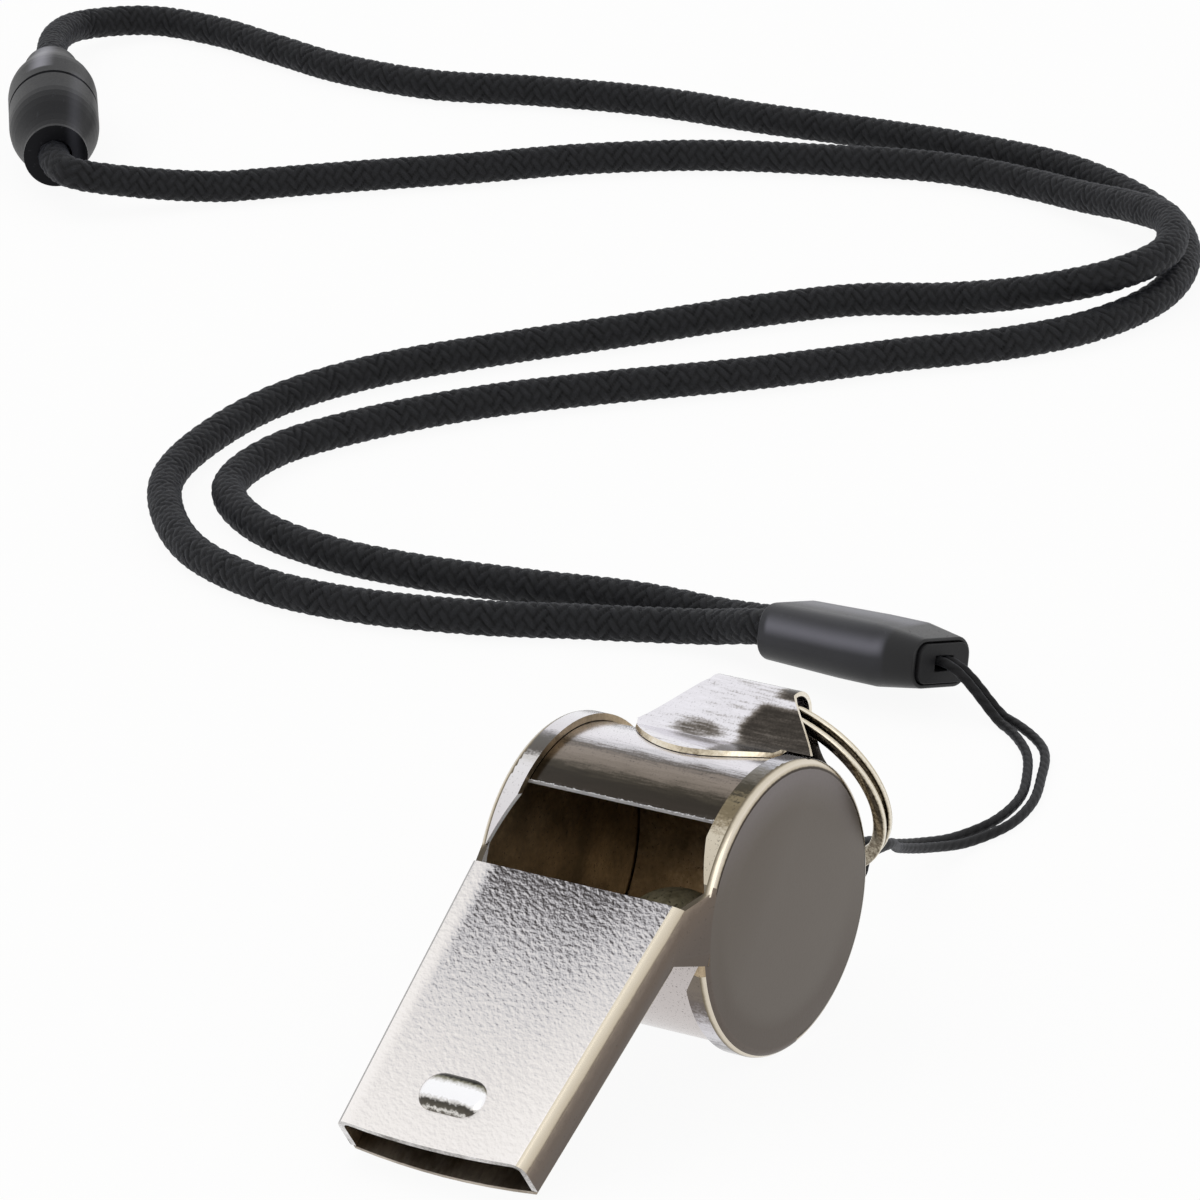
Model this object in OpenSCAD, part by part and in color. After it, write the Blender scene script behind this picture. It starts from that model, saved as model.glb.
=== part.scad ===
// Sports whistle of plated sheet metal on a neck cord with a breakaway clasp.
// The whistle lies on its barrel and on the lower edge of its mouth. +X points to the mouth,
// Y runs along the barrel, +Z is up, and the origin is under the middle of the whistle.

/* [Barrel] */
// Diameter of the barrel over its folded rims
barrel_d = 22; // [20:0.5:25]
// Width over the two cheeks
body_w = 20; // [19:0.5:22]
// Thickness of the sheet metal
sheet_t = 0.5; // [0.4:0.05:0.55]
// Width of the rim that each cheek folds in over the barrel strip
rim_w = 1.9; // [1.6:0.1:2.4]
// Radius of the rounded edge between cheek and rim
rim_round = 0.7; // [0.65:0.05:0.9]

/* [Mouthpiece] */
// Reach of the top plate from over the barrel's axis to the mouth
mouth_l = 31.2; // [29:0.2:36]
// Step in from each cheek to the side wall at the window
neck_step = 1; // [0.8:0.1:1.25]
// Step in of each side wall from the window to the mouth
mouth_taper = 1; // [0.3:0.1:1.4]
// Height of the side walls
side_h = 3.35; // [3:0.05:3.8]
// Radius of the bend between top plate and side wall
corner_r = 1.1; // [0.8:0.1:1.4]
// Length of the window from the lip to the top plate
window_l = 8.1; // [7.6:0.1:8.6]
// Bow of the mouth's edge, seen from above
mouth_bow = 0.4; // [0.1:0.1:0.8]
// Thickness of the floor plate and of the windway ramp
floor_t = 0.35; // [0.25:0.05:0.45]
// Sag of the floor plate at the mouth
floor_bow = 0.2; // [0.1:0.05:0.4]
// Height of the windway where it opens into the window
slot_h = 1.4; // [1:0.1:1.6]

/* [Tooth boss] */
// Size of the boss across the top plate
boss_w = 5.4; // [4:0.2:7]
// Size of the boss along the top plate
boss_l = 3.2; // [2.4:0.2:4]
// Height of the boss above the top plate
boss_h = 0.6; // [0.3:0.1:0.9]
// Distance from the mouth to the middle of the boss
boss_back = 4.4; // [3:0.2:7]

/* [Pea] */
// Diameter of the pea
pea_d = 9; // [8.6:0.1:10]

/* [Ring and saddle] */
// Diameter of the split ring along the middle of its wire
ring_d = 16; // [15.6:0.1:16.6]
// Width of the ring's wire across the ring
wire_w = 1; // [0.8:0.05:1.1]
// Thickness of one turn of the wire
wire_t = 0.45; // [0.35:0.05:0.5]
// Gap between the two turns
turn_gap = 0.42; // [0.41:0.01:0.5]
// Height of the ring's seat above the barrel strip
seat_h = 3.5; // [3.4:0.05:3.9]
// Thickness of the saddle's sheet
saddle_t = 0.35; // [0.3:0.05:0.45]
// Size of the saddle along the barrel's round
saddle_l = 12.6; // [12:0.1:13]
// Size of the saddle across
saddle_w = 13.8; // [13:0.2:14.2]
// Length of the saddle's crest
crest_l = 7.2; // [6.6:0.1:7.4]
// Shift of the saddle's feet from the middle of the barrel
saddle_y = 0.9; // [0.6:0.1:1.2]
// Shift of the saddle's crest from the middle of the barrel
crest_y = 2.3; // [2:0.1:2.5]
// Shift of the ring from the middle of the barrel
ring_y = 2.9; // [2.6:0.1:3]

/* [Neck cord] */
// Diameter of the neck cord
cord_d = 3; // [2.6:0.1:3.2]
// Diameter of the thin strap
strap_d = 0.8; // [0.6:0.05:0.9]

/* [Cord clamp] */
// Length of the clamp
clamp_l = 15.5; // [14:0.5:18]
// Width of the clamp
clamp_w = 9; // [8.5:0.1:10]
// Thickness of the clamp
clamp_h = 5; // [4.6:0.1:6]
// Width of the insert in the clamp's front
insert_w = 6.2; // [5.6:0.1:6.8]
// Height of the insert
insert_h = 3.2; // [2.8:0.1:3.5]
// Depth of the insert
insert_l = 4; // [3:0.2:5]

/* [Clasp] */
// Diameter of the clasp at its joint
clasp_d = 8.5; // [8:0.1:10]
// Diameter of the clasp at its ends
clasp_end_d = 5.4; // [5:0.1:6]
// Length of one half of the clasp
clasp_half_l = 12.5; // [11.5:0.5:15]
// Diameter of the plug's spigot
spigot_d = 4.8; // [4:0.1:5.2]
// Length of the plug's spigot
spigot_l = 4.5; // [3.5:0.1:5]

/* [Hidden] */
$fn = 96;
hull_fn = 32;

// Overrun of every cut
over = 0.3;
// Lap of one sheet on the next where they run on as one
lap = 0.4;
// Gap at a soldered seam
seam = 0.05;
// Air between the pea and the chamber's wall
pea_air = 0.2;
// Air round the clamp's insert and the clasp's spigot
fit_gap = 0.06;
// Air between a cord and its bore
bore_gap = 0.06;
// Air between the hanging ring and the barrel's rims
ring_air = 0.3;

// Angles round the barrel's axis, from along the top plate towards its upper side
lip_a = 89.2;
flange_high_a = 80.4;
flange_low_a = 19.2;
window_a = 58.3;
notch_a = 31.9;
blend_high_a = 62.5;
blend_low_a = 30.7;
// Corner of the side wall at the window
neck_u = 7.6;
neck_drop = 1;
// Front end of the relief notch
notch_u = 10.9;
// Sheet left standing at the cut ends of the rim
rim_stub = 0.55;
// Front end of the windway ramp
ramp_u = 16;
// Steps in the bends of the sheet
bend_steps = 6;
dome_steps = 5;
blend_steps = 8;
span_steps = 8;

// Level angles of the saddle and of the ring's seat, from +X towards +Z
seat_a = 127;
foot_front_a = 80;
foot_rear_a = 156;
// Angle from the seat to the start of each leg's rise, and the legs' slant at the crest
rise_a = 20;
crest_turn_a = 75;
// Reach of the legs' curve at the foot and at the crest
foot_pull = 1.6;
crest_pull = 1.8;
fold_steps = 10;
// Depth of the fold's base under the barrel strip
fold_base = 1;
// Air between the saddle and the cheeks' rims
saddle_air = 0.15;
// Air round the ring's wire in the seat
seat_air = 0.08;
// Straight part of the saddle's waist behind the crest
waist_rear = 1.8;
// Width that each side gains: the rear leg per unit of its length, the front leg per unit of its drop
rear_left_share = 1.45;
rear_right_share = 3;
front_left_share = 0.95;
front_right_share = 0.85;

barrel_r = barrel_d / 2;
throat_w = body_w - 2 * neck_step;
mouth_w = throat_w - 2 * mouth_taper;
disc_r = barrel_r - rim_round;
strip_r = barrel_r - sheet_t - seam;
low_n = barrel_r - side_h;
neck_n = barrel_r - neck_drop;
floor_n = low_n - seam;
strip_half = body_w / 2 - sheet_t - seam * 2;
// The floor plate starts on the strip's front end
strip_end_a = asin((floor_n - floor_t - seam) / strip_r);
floor_u = strip_r * cos(strip_end_a) - lap / 2;
slot_u = neck_u - lap / 2;
slot_n = barrel_r - sheet_t - slot_h;

// The whistle tips forward until its mouth's lower edge meets the ground
rest_n = floor_n - floor_t - floor_bow;
slope = atan(rest_n / mouth_l) + asin(barrel_r / norm([mouth_l, rest_n]));

// The ring hangs from its seat, just clear of the barrel's rims
ring_r = ring_d / 2;
turn_step = wire_t + turn_gap;
ring_half = wire_t + turn_gap / 2;
hook_r = strip_r + seat_h;
hang_a = seat_a + 180 - asin((barrel_r + ring_half + ring_air) / hook_r);
// Dip of the ring's curve within the seat, and half of it as the ring's rise above its axis
seat_reach = crest_l / 2 + abs(crest_y - ring_y);
seat_dip = ring_r - sqrt(pow(ring_r, 2) - pow(seat_reach, 2));
ring_rise = seat_dip / 2;
seat_hole_r = norm([wire_w / 2, ring_half]) + ring_rise + seat_air;
hook = hook_r * [cos(seat_a), sin(seat_a)];

// The middle of the whistle on the ground
ring_out = ring_r + wire_w / 2;
ring_back = hook[0] + (ring_r - ring_rise + ring_out) * cos(hang_a) - ring_half * abs(sin(hang_a));
mouth_tip = mouth_l * cos(slope) + barrel_r * sin(slope);
origin_x = (ring_back + mouth_tip) / 2;
origin_y = (max(body_w / 2, ring_y + ring_out) + min(-body_w / 2, ring_y - ring_out)) / 2;

function unit(v) = v / norm(v);
function polar(r, a) = r * [cos(a), sin(a)];
function turn_x(v, a) = [v[0], v[1] * cos(a) - v[2] * sin(a), v[1] * sin(a) + v[2] * cos(a)];
function turn_y(v, a) = [v[0] * cos(a) + v[2] * sin(a), v[1], v[2] * cos(a) - v[0] * sin(a)];
function turn_z(v, a) = [v[0] * cos(a) - v[1] * sin(a), v[0] * sin(a) + v[1] * cos(a), v[2]];

// Places a point of the frame that has its origin on the ground below the barrel's axis
function whistle_point(p) = p - [origin_x, origin_y, 0];

module in_whistle() translate([-origin_x, -origin_y, barrel_r]) children();

// Local X runs along the top plate to the mouth, local Z out through the plate
module along_plate() in_whistle() rotate([0, slope, 0]) children();

module extrude_y(w) rotate([90, 0, 0]) linear_extrude(w, center = true) children();

// Extrudes a 2D shape outward from the barrel at angle a, its first axis lying clockwise
module extrude_radial(a, from, to)
    rotate([0, -a, 0]) translate([from, 0, 0]) rotate([0, 90, 0]) linear_extrude(to - from) children();

function grid_faces(rows, cols, base, flip) = [
    for (i = [0 : rows - 2], j = [0 : cols - 2], half = [0, 1])
        let (a = base + i * cols + j, b = a + 1, c = a + cols, d = c + 1,
            tri = half == 0 ? [a, b, d] : [a, d, c])
        flip ? [tri[2], tri[1], tri[0]] : tri
];

function edge_faces(first, second) = [
    for (k = [0 : len(first) - 2], half = [0, 1])
        half == 0 ? [first[k], second[k], second[k + 1]] : [first[k], second[k + 1], first[k + 1]]
];

// A sheet between two grids of points, whose outer side is seen with its rows running
// from left to right and its columns from top to bottom when flip is false
module sheet(outer, inner, flip = false) {
    rows = len(outer);
    cols = len(outer[0]);
    count = rows * cols;
    first_row = [for (j = [0 : cols - 1]) j];
    last_row = [for (j = [0 : cols - 1]) (rows - 1) * cols + j];
    first_col = [for (i = [0 : rows - 1]) i * cols];
    last_col = [for (i = [0 : rows - 1]) i * cols + cols - 1];
    edges = concat(
        edge_faces(first_row, [for (k = first_row) k + count]),
        edge_faces([for (k = last_row) k + count], last_row),
        edge_faces([for (k = first_col) k + count], first_col),
        edge_faces(last_col, [for (k = last_col) k + count]));
    polyhedron(
        points = concat([for (row = outer) each row], [for (row = inner) each row]),
        faces = concat(grid_faces(rows, cols, 0, flip), grid_faces(rows, cols, count, !flip),
            [for (f = edges) flip ? [f[2], f[1], f[0]] : f]),
        convexity = 6);
}

// A closed tube through a list of loops of points
module tube(loops) {
    n = len(loops[0]);
    last = (len(loops) - 1) * n;
    polyhedron(
        points = [for (loop = loops) each loop],
        faces = concat(
            [[for (k = [0 : n - 1]) k]],
            [[for (k = [n - 1 : -1 : 0]) last + k]],
            [for (i = [0 : len(loops) - 2], k = [0 : n - 1], half = [0, 1])
                let (a = i * n + k, b = i * n + (k + 1) % n, c = a + n, d = b + n)
                half == 0 ? [a, c, d] : [a, d, b]]),
        convexity = 10);
}

function heading(p, i) = unit(p[min(i + 1, len(p) - 1)] - p[max(i - 1, 0)]);
function level_off(s, t) = unit(s - (s * t) * t);
function side_vectors(p, start) = [
    for (i = 0, s = level_off(start, heading(p, 0)); i < len(p);
        i = i + 1, s = level_off(s, heading(p, min(i, len(p) - 1)))) s
];
function round_loops(p, d, n, start) = let (side = side_vectors(p, start)) [
    for (i = [0 : len(p) - 1])
        let (t = heading(p, i), up = cross(t, side[i]))
        [for (k = [0 : n - 1]) let (a = 360 * (k + 0.5) / n)
            p[i] + d / 2 * (cos(a) * side[i] + sin(a) * up)]
];
function route_length(p) = [for (i = 0, l = 0; i < len(p);
    i = i + 1, l = l + (i < len(p) ? norm(p[i] - p[i - 1]) : 0)) l][len(p) - 1];

// Body shell: top plate, side walls, cheeks and their folded rims in one drawn sheet
function half_width(u) = throat_w / 2 + (mouth_w - throat_w) / 2 * (u - neck_u) / (mouth_l - neck_u);

function mouth_u(y, half) = mouth_l - mouth_bow * pow(y / half, 2);

function channel_row(u, at_mouth, depth) =
    let (half = half_width(u) - depth, top = barrel_r - depth, r = corner_r - depth,
        left = concat([[-half, low_n]],
            [for (k = [0 : bend_steps]) let (a = 180 - 90 * k / bend_steps)
                [-half + r, top - r] + polar(r, a)]),
        span = [for (k = [1 : span_steps - 1]) [(half - r) * (2 * k / span_steps - 1), top]],
        right = [for (k = [len(left) - 1 : -1 : 0]) [-left[k][0], left[k][1]]])
    [for (q = concat(left, span, right)) [at_mouth ? mouth_u(q[0], half) : u, q[0], q[1]]];

module channel() {
    intersection() {
        sheet([channel_row(neck_u, false, 0), channel_row(mouth_l, true, 0)],
            [channel_row(neck_u, false, sheet_t), channel_row(mouth_l, true, sheet_t)]);
        extrude_y(body_w) polygon([
            [window_l, barrel_r + over], [neck_u, neck_n], [notch_u, low_n],
            [notch_u, low_n - over], [mouth_l + over, low_n - over],
            [mouth_l + over, barrel_r + over]]);
    }
}

// Side sheet between the cheek's round edge and the straight side wall
function blend_row(k, depth) =
    let (a = blend_high_a + (blend_low_a - blend_high_a) * k / blend_steps,
        q = [neck_u, neck_n] + ([notch_u, low_n] - [neck_u, neck_n]) * k / blend_steps,
        p0 = polar(disc_r - lap, a), p1 = polar(disc_r, a), flat_y = body_w / 2 - depth)
    [[p0[0], flat_y, p0[1]], [p1[0], flat_y, p1[1]],
        [q[0], half_width(q[0]) - depth, q[1]],
        [q[0] + lap, half_width(q[0] + lap) - depth, q[1]]];

module cheek_blend() {
    sheet([for (k = [0 : blend_steps]) blend_row(k, 0)],
        [for (k = [0 : blend_steps]) blend_row(k, sheet_t)], flip = true);
}

module cup_outline(r, h, round) {
    square([r - round, h]);
    square([r, h - round]);
    translate([r - round, h - round]) circle(round, $fn = hull_fn);
}

module cheek_cup() {
    gap_a = (flange_high_a + flange_low_a + window_a + notch_a) / 4;
    rim_y = body_w / 2 - rim_w;
    stub_y = body_w / 2 - rim_stub;
    difference() {
        translate([0, rim_y, 0]) rotate([-90, 0, 0]) rotate_extrude()
            difference() {
                cup_outline(barrel_r, rim_w, rim_round);
                translate([0, -over])
                    cup_outline(barrel_r - sheet_t, rim_w - sheet_t + over, rim_round - sheet_t);
            }
        extrude_radial(gap_a, (disc_r - lap) * cos(flange_high_a - gap_a), barrel_r + over)
            polygon([
                [-barrel_r * sin(flange_high_a - gap_a), rim_y - over],
                [-barrel_r * sin(flange_high_a - gap_a), rim_y],
                [-barrel_r * sin(window_a - gap_a), stub_y],
                [-barrel_r * sin(notch_a - gap_a), stub_y],
                [-barrel_r * sin(flange_low_a - gap_a), rim_y],
                [-barrel_r * sin(flange_low_a - gap_a), rim_y - over]]);
        extrude_radial(gap_a, disc_r - lap / 2, barrel_r + over)
            polygon([
                [-barrel_r * sin(window_a - gap_a), stub_y - over],
                [-barrel_r * sin(window_a - gap_a), body_w / 2 + over],
                [-barrel_r * sin(notch_a - gap_a), body_w / 2 + over],
                [-barrel_r * sin(notch_a - gap_a), stub_y - over]]);
    }
}

module tooth_boss() {
    dome = [for (k = [0 : dome_steps]) let (a = 90 * k / dome_steps)
        [boss_l / 2 * cos(a), sheet_t / 2 + boss_h * sin(a)]];
    hull() for (s = [-1, 1])
        translate([mouth_l - boss_back, s * (boss_w - boss_l) / 2, barrel_r - sheet_t / 2])
            rotate_extrude($fn = hull_fn) polygon(concat([[0, 0], [boss_l / 2, 0]], dome));
}

module body_shell() color("silver") along_plate() {
    channel();
    tooth_boss();
    for (m = [0, 1]) mirror([0, m, 0]) {
        cheek_cup();
        cheek_blend();
    }
}

// Barrel strip: from the lip back over the barrel, under it and up to the floor plate
module barrel_strip() color("gainsboro") along_plate()
    rotate([90, 0, 0]) rotate([0, 0, lip_a]) rotate_extrude(angle = 360 + strip_end_a - lip_a)
        translate([strip_r - sheet_t, -strip_half]) square([sheet_t, strip_half * 2]);

// Floor plate of the mouthpiece, on the strip's front end and under the side walls
function floor_row(u, half, at_mouth, depth) =
    let (bow = floor_bow * pow((u - floor_u) / (mouth_l - floor_u), 2))
    [for (k = [0 : span_steps]) let (y = half * (2 * k / span_steps - 1))
        [at_mouth ? mouth_u(y, half) : u, y, floor_n - depth - bow * (1 - pow(y / half, 2))]];

module mouthpiece_floor() color("lightgray") along_plate() {
    tongue = half_width(notch_u) - sheet_t - seam;
    inset = sheet_t / 2;
    mid_u = (notch_u + mouth_l) / 2;
    places = [[floor_u, tongue, false], [notch_u, tongue, false],
        [notch_u + seam, half_width(notch_u) - inset, false],
        [mid_u, half_width(mid_u) - inset, false],
        [mouth_l, half_width(mouth_l) - inset, true]];
    sheet([for (p = places) floor_row(p[0], p[1], p[2], 0)],
        [for (p = places) floor_row(p[0], p[1], p[2], floor_t)]);
}

// Bent plate inside the mouthpiece that narrows the windway towards the window
module windway_ramp() color("darkgray") along_plate() {
    foot_n = floor_n + seam;
    half = half_width(ramp_u) - sheet_t - seam * 2;
    extrude_y(half * 2) polygon([
        [slot_u, foot_n], [slot_u, slot_n], [ramp_u, foot_n + floor_t], [ramp_u, foot_n],
        [slot_u + floor_t, slot_n - floor_t], [slot_u + floor_t, foot_n]]);
}

// Pea: a ball that rolls round the chamber
pea_orbit = strip_r - sheet_t - pea_d / 2 - pea_air;
module pea() color("tan") in_whistle() translate([0, 0, -pea_orbit]) sphere(d = pea_d);

// Saddle: a folded sheet on the strip, with a tunnel under its crest for the ring
crest_r = seat_hole_r + saddle_t;
foot_r = strip_r + seam + saddle_t;
function curve(p, s) = pow(1 - s, 3) * p[0] + 3 * s * pow(1 - s, 2) * p[1]
    + 3 * s * s * (1 - s) * p[2] + pow(s, 3) * p[3];

// One leg of the fold, from its foot up to the crest, across and up from the seat
leg_start = (foot_r - seam) * [sin(rise_a), cos(rise_a)];
leg_end = [crest_r * sin(crest_turn_a), hook_r + crest_r * cos(crest_turn_a)];
leg_ends = [leg_start, leg_start + foot_pull * [-cos(rise_a), sin(rise_a)],
    leg_end + crest_pull * [cos(crest_turn_a), -sin(crest_turn_a)], leg_end];
leg = [for (k = [0 : fold_steps]) curve(leg_ends, k / fold_steps)];

module saddle_fold() rotate(seat_a - 90) {
    translate([0, hook_r]) circle(crest_r);
    base = (strip_r - fold_base) * cos(rise_a);
    polygon(concat([[leg[0][0], base]], leg,
        [for (k = [fold_steps : -1 : 0]) [-leg[k][0], leg[k][1]]], [[-leg[0][0], base]]));
}

module saddle_feet() intersection() {
    circle(foot_r);
    polygon([[0, 0], polar(foot_r * 3, foot_front_a), polar(foot_r * 3, foot_rear_a)]);
}

// The front leg widens as it drops from the crest, and the rear leg as it leaves the waist
module saddle_width() {
    far = saddle_l / 2;
    top = hook_r + seat_hole_r - saddle_t;
    rise = hook_r + crest_r + over;
    half = crest_l / 2;
    rotate([0, -seat_a, 0]) translate([0, 0, -far]) linear_extrude(far + lap) translate([0, crest_y])
        polygon([[rise, half], [top, half], [0, half + front_right_share * top],
            [0, -half - front_left_share * top], [top, -half], [rise, -half]]);
    extrude_radial(seat_a, 0, rise) translate([0, crest_y])
        polygon([[0, half], [0, -half], [-waist_rear, -half],
            [-waist_rear - far, -half - rear_left_share * far],
            [-waist_rear - far, half + rear_right_share * far], [-waist_rear, half]]);
}

// The saddle's feet are rounded and keep inside the cheeks' rims, and its legs stand clear above them
module off_the_feet() {
    clear_r = barrel_r + saddle_air;
    difference() {
        extrude_y(body_w + 2 * over) circle(clear_r);
        intersection() {
            extrude_y(body_w - 2 * (rim_w + saddle_air)) circle(clear_r + over);
            extrude_radial(seat_a, 0, clear_r + over)
                translate([0, saddle_y]) scale([1, saddle_w / saddle_l]) circle(saddle_l / 2);
        }
    }
}

module ring_saddle() color("whitesmoke") in_whistle() difference() {
    intersection() {
        extrude_y(body_w) difference() {
            union() {
                saddle_fold();
                saddle_feet();
            }
            offset(delta = -saddle_t) saddle_fold();
            circle(strip_r + seam);
        }
        saddle_width();
    }
    off_the_feet();
}

// Split ring: two turns of flat wire, wound as one with a short step between the turns
step_a = 26;
end_a = 9;
wire_corner_share = 0.3;
ring_steps = 23;
function turn_level(a) = turn_step * (0.5 - (a < 360 - step_a ? 0 :
    a > 360 ? 1 : (1 - cos(180 * (a - 360 + step_a) / step_a)) / 2));
ring_angles = concat([for (k = [0 : ring_steps]) end_a + (360 - step_a - end_a) * k / ring_steps],
    [for (k = [1 : 5]) 360 - step_a + step_a * k / 6],
    [for (k = [0 : ring_steps]) 360 + (360 - step_a - end_a) * k / ring_steps]);
wire_section = [for (s = [1, -1]) let (cw = wire_w * wire_corner_share, ct = wire_t * wire_corner_share)
    each [[-s * (wire_w / 2 - cw), s * wire_t / 2], [s * (wire_w / 2 - cw), s * wire_t / 2],
        [s * wire_w / 2, s * (wire_t / 2 - ct)], [s * wire_w / 2, -s * (wire_t / 2 - ct)]]];

function ring_point(a, q) = let (p = polar(ring_r + q[0], a - 90))
    [p[0] + ring_r - ring_rise, p[1], turn_level(a) + q[1]];

function ring_place(p) = turn_y(p, -hang_a) + [hook[0], ring_y, hook[1]];

module split_ring() color("silver") in_whistle()
    tube([for (a = ring_angles) [for (q = wire_section) ring_place(ring_point(a, q))]]);

turn_gaps = [for (a = ring_angles) if (a < 360 - step_a) turn_level(a) - turn_level(a + 360) - wire_t];
end_gap = min([for (a = ring_angles, b = [end_a, 720 - step_a - end_a])
    if (a != b && a > 360 - step_a && a < 360)
        norm(ring_point(a, [0, 0]) - ring_point(b, [0, 0])) - wire_t]);
echo(ring_turn_gap = min(turn_gaps), ring_end_gap = end_gap);

// Neck cord: the places of the clamp and the clasp on the ground
clamp_x = -70.1;
clamp_y = -29.9;
clamp_yaw = 83;
clamp_pitch = 3;
clamp_roll = -16;
clamp_round = 2;
// Depth of the cords' ports in the clamp, and the air between the two cords there
port_l = 3.5;
cord_air = 0.3;
port_pitch = cord_d + cord_air;
clamp_z = (clamp_w / 2 - clamp_round) * sin(abs(clamp_roll))
    + (clamp_h / 2 - clamp_round) * cos(clamp_roll) + clamp_round;
// Air between the strap's two strands in the insert, and round them in its hole
strap_air = 0.2;
hole_air = 0.2;
strap_pitch = strap_d + strap_air;
insert_round = 1;
insert_proud = 0.3;
hole_w = strap_pitch + strap_d + 2 * hole_air;
hole_h = strap_d + 2 * hole_air;

clasp_x = -144.8;
clasp_y = -160.1;
clasp_yaw = 218;
clasp_z = clasp_d / 2;
// Depth of a cord's bore in the clasp
clasp_bore_l = 5;
// Air round the spigot and in front of it
spigot_air = 0.18;
spigot_end_air = 0.25;
// Bead round the spigot that the socket snaps over: height, length and place
bead_h = 0.09;
bead_l = 0.6;
bead_back = 0.6;

function clamp_point(p) = [clamp_x, clamp_y, clamp_z]
    + turn_z(turn_y(turn_x(p, clamp_roll), -clamp_pitch), clamp_yaw);
function clasp_point(p) = [clasp_x, clasp_y, clasp_z] + turn_z(p, clasp_yaw);

module at_clamp() translate([clamp_x, clamp_y, clamp_z])
    rotate([clamp_roll, -clamp_pitch, clamp_yaw]) children();

module at_clasp() translate([clasp_x, clasp_y, clasp_z]) rotate([0, 0, clasp_yaw]) children();

module rounded_rect(w, h, r) {
    square([w - 2 * r, h], center = true);
    square([w, h - 2 * r], center = true);
    for (x = [-1, 1], y = [-1, 1]) translate([x * (w / 2 - r), y * (h / 2 - r)]) circle(r);
}

// Extrudes a 2D shape along local X, its first axis lying along local Y
module extrude_x(from, to) translate([from, 0, 0]) rotate([90, 0, 90]) linear_extrude(to - from) children();

rear_share = 0.93;
nose_share = 0.8;
shoulder_share = 0.75;

module clamp_shell() color("#262626") at_clamp() difference() {
    hull() {
        extrude_x(0, clamp_round)
            rounded_rect(clamp_w * rear_share, clamp_h * rear_share, clamp_round * rear_share, $fn = hull_fn);
        extrude_x(clamp_l / 2, clamp_l * shoulder_share)
            rounded_rect(clamp_w, clamp_h, clamp_round, $fn = hull_fn);
        extrude_x(clamp_l * shoulder_share, clamp_l)
            rounded_rect(clamp_w * nose_share, clamp_h * nose_share, clamp_round * nose_share, $fn = hull_fn);
    }
    extrude_x(clamp_l - insert_l, clamp_l + over)
        rounded_rect(insert_w + 2 * fit_gap, insert_h + 2 * fit_gap, insert_round + fit_gap);
    for (s = [-1, 1]) translate([-over, s * port_pitch / 2, 0]) rotate([0, 90, 0])
        cylinder(d = cord_d + 2 * bore_gap, h = port_l + over);
}

module clamp_insert() color("#1d1d1d") at_clamp() difference() {
    extrude_x(clamp_l - insert_l, clamp_l + insert_proud) rounded_rect(insert_w, insert_h, insert_round);
    extrude_x(clamp_l - insert_l - over, clamp_l + insert_proud + over)
        square([hole_w, hole_h], center = true);
}

// Outline of half a clasp: full for its first part, then drawn in to its end
clasp_full_share = 0.34;
clasp_chamfer = 0.3;
// Collar round the socket's end
collar_l = 0.6;
collar_h = 0.3;
clasp_steps = 8;
clasp_outline = concat([[0, 0], [clasp_d / 2 - clasp_chamfer, 0], [clasp_d / 2, clasp_chamfer]],
    [for (k = [0 : clasp_steps])
        let (s = k / clasp_steps, z = clasp_half_l * (clasp_full_share + (1 - clasp_full_share) * s))
        [clasp_end_d / 2 + (clasp_d - clasp_end_d) / 2 * (1 - s * s * (3 - 2 * s)), z]],
    [[0, clasp_half_l]]);

// A turned piece round local X, from a profile whose height runs along the given direction
module turned_x(way) rotate([0, way * 90, 0]) rotate_extrude() children();

module clasp_socket() color("#202020") at_clasp() difference() {
    turned_x(-1) {
        polygon(clasp_outline);
        translate([0, clasp_half_l - collar_l]) square([clasp_end_d / 2 + collar_h, collar_l]);
    }
    turned_x(-1) {
        translate([0, -over]) square([spigot_d / 2 + spigot_air, spigot_l + over + spigot_end_air]);
        translate([0, clasp_half_l - clasp_bore_l]) square([cord_d / 2 + bore_gap, clasp_bore_l + over]);
    }
}

module clasp_plug() color("#2b2b2b") at_clasp() translate([fit_gap, 0, 0]) difference() {
    union() {
        turned_x(1) polygon(clasp_outline);
        turned_x(-1) {
            square([spigot_d / 2, spigot_l]);
            translate([0, spigot_l - bead_back - bead_l]) square([spigot_d / 2 + bead_h, bead_l]);
        }
    }
    turned_x(1) translate([0, clasp_half_l - clasp_bore_l])
        square([cord_d / 2 + bore_gap, clasp_bore_l + over]);
}

// Routes of the cords on the ground, from the clamp to the clasp, chosen by hand
outer_route = [[-73.3, -38.5, 1.6], [-73.3, -46.5, 1.5], [-71.3, -56.5, 1.5], [-69.8, -66.5, 1.5],
    [-69.8, -75.5, 1.5], [-72.3, -84.5, 1.5], [-78.3, -91.5, 1.5], [-87.3, -93, 1.5],
    [-95.8, -90, 1.5], [-105.3, -84, 1.5], [-113.3, -76.5, 1.5], [-122.3, -67, 1.5],
    [-132.3, -58, 1.5], [-138.8, -51.5, 1.5], [-146.3, -47, 1.5], [-154.8, -45.5, 1.5],
    [-163.3, -47.5, 1.5], [-171.8, -53, 1.5], [-177.8, -61, 1.5], [-181.8, -70.5, 1.5],
    [-182.8, -81.5, 1.5], [-182.3, -92.5, 1.5], [-181.3, -103.5, 1.5], [-180.8, -115.5, 1.5],
    [-178.3, -127.5, 1.5], [-175.3, -137.5, 1.5], [-175.3, -148.5, 1.5], [-177.3, -157.5, 1.5],
    [-179.3, -166.5, 1.5], [-178.8, -174, 1.6], [-172.8, -177.5, 2.4], [-165.8, -175.5, 3.5]];
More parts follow.
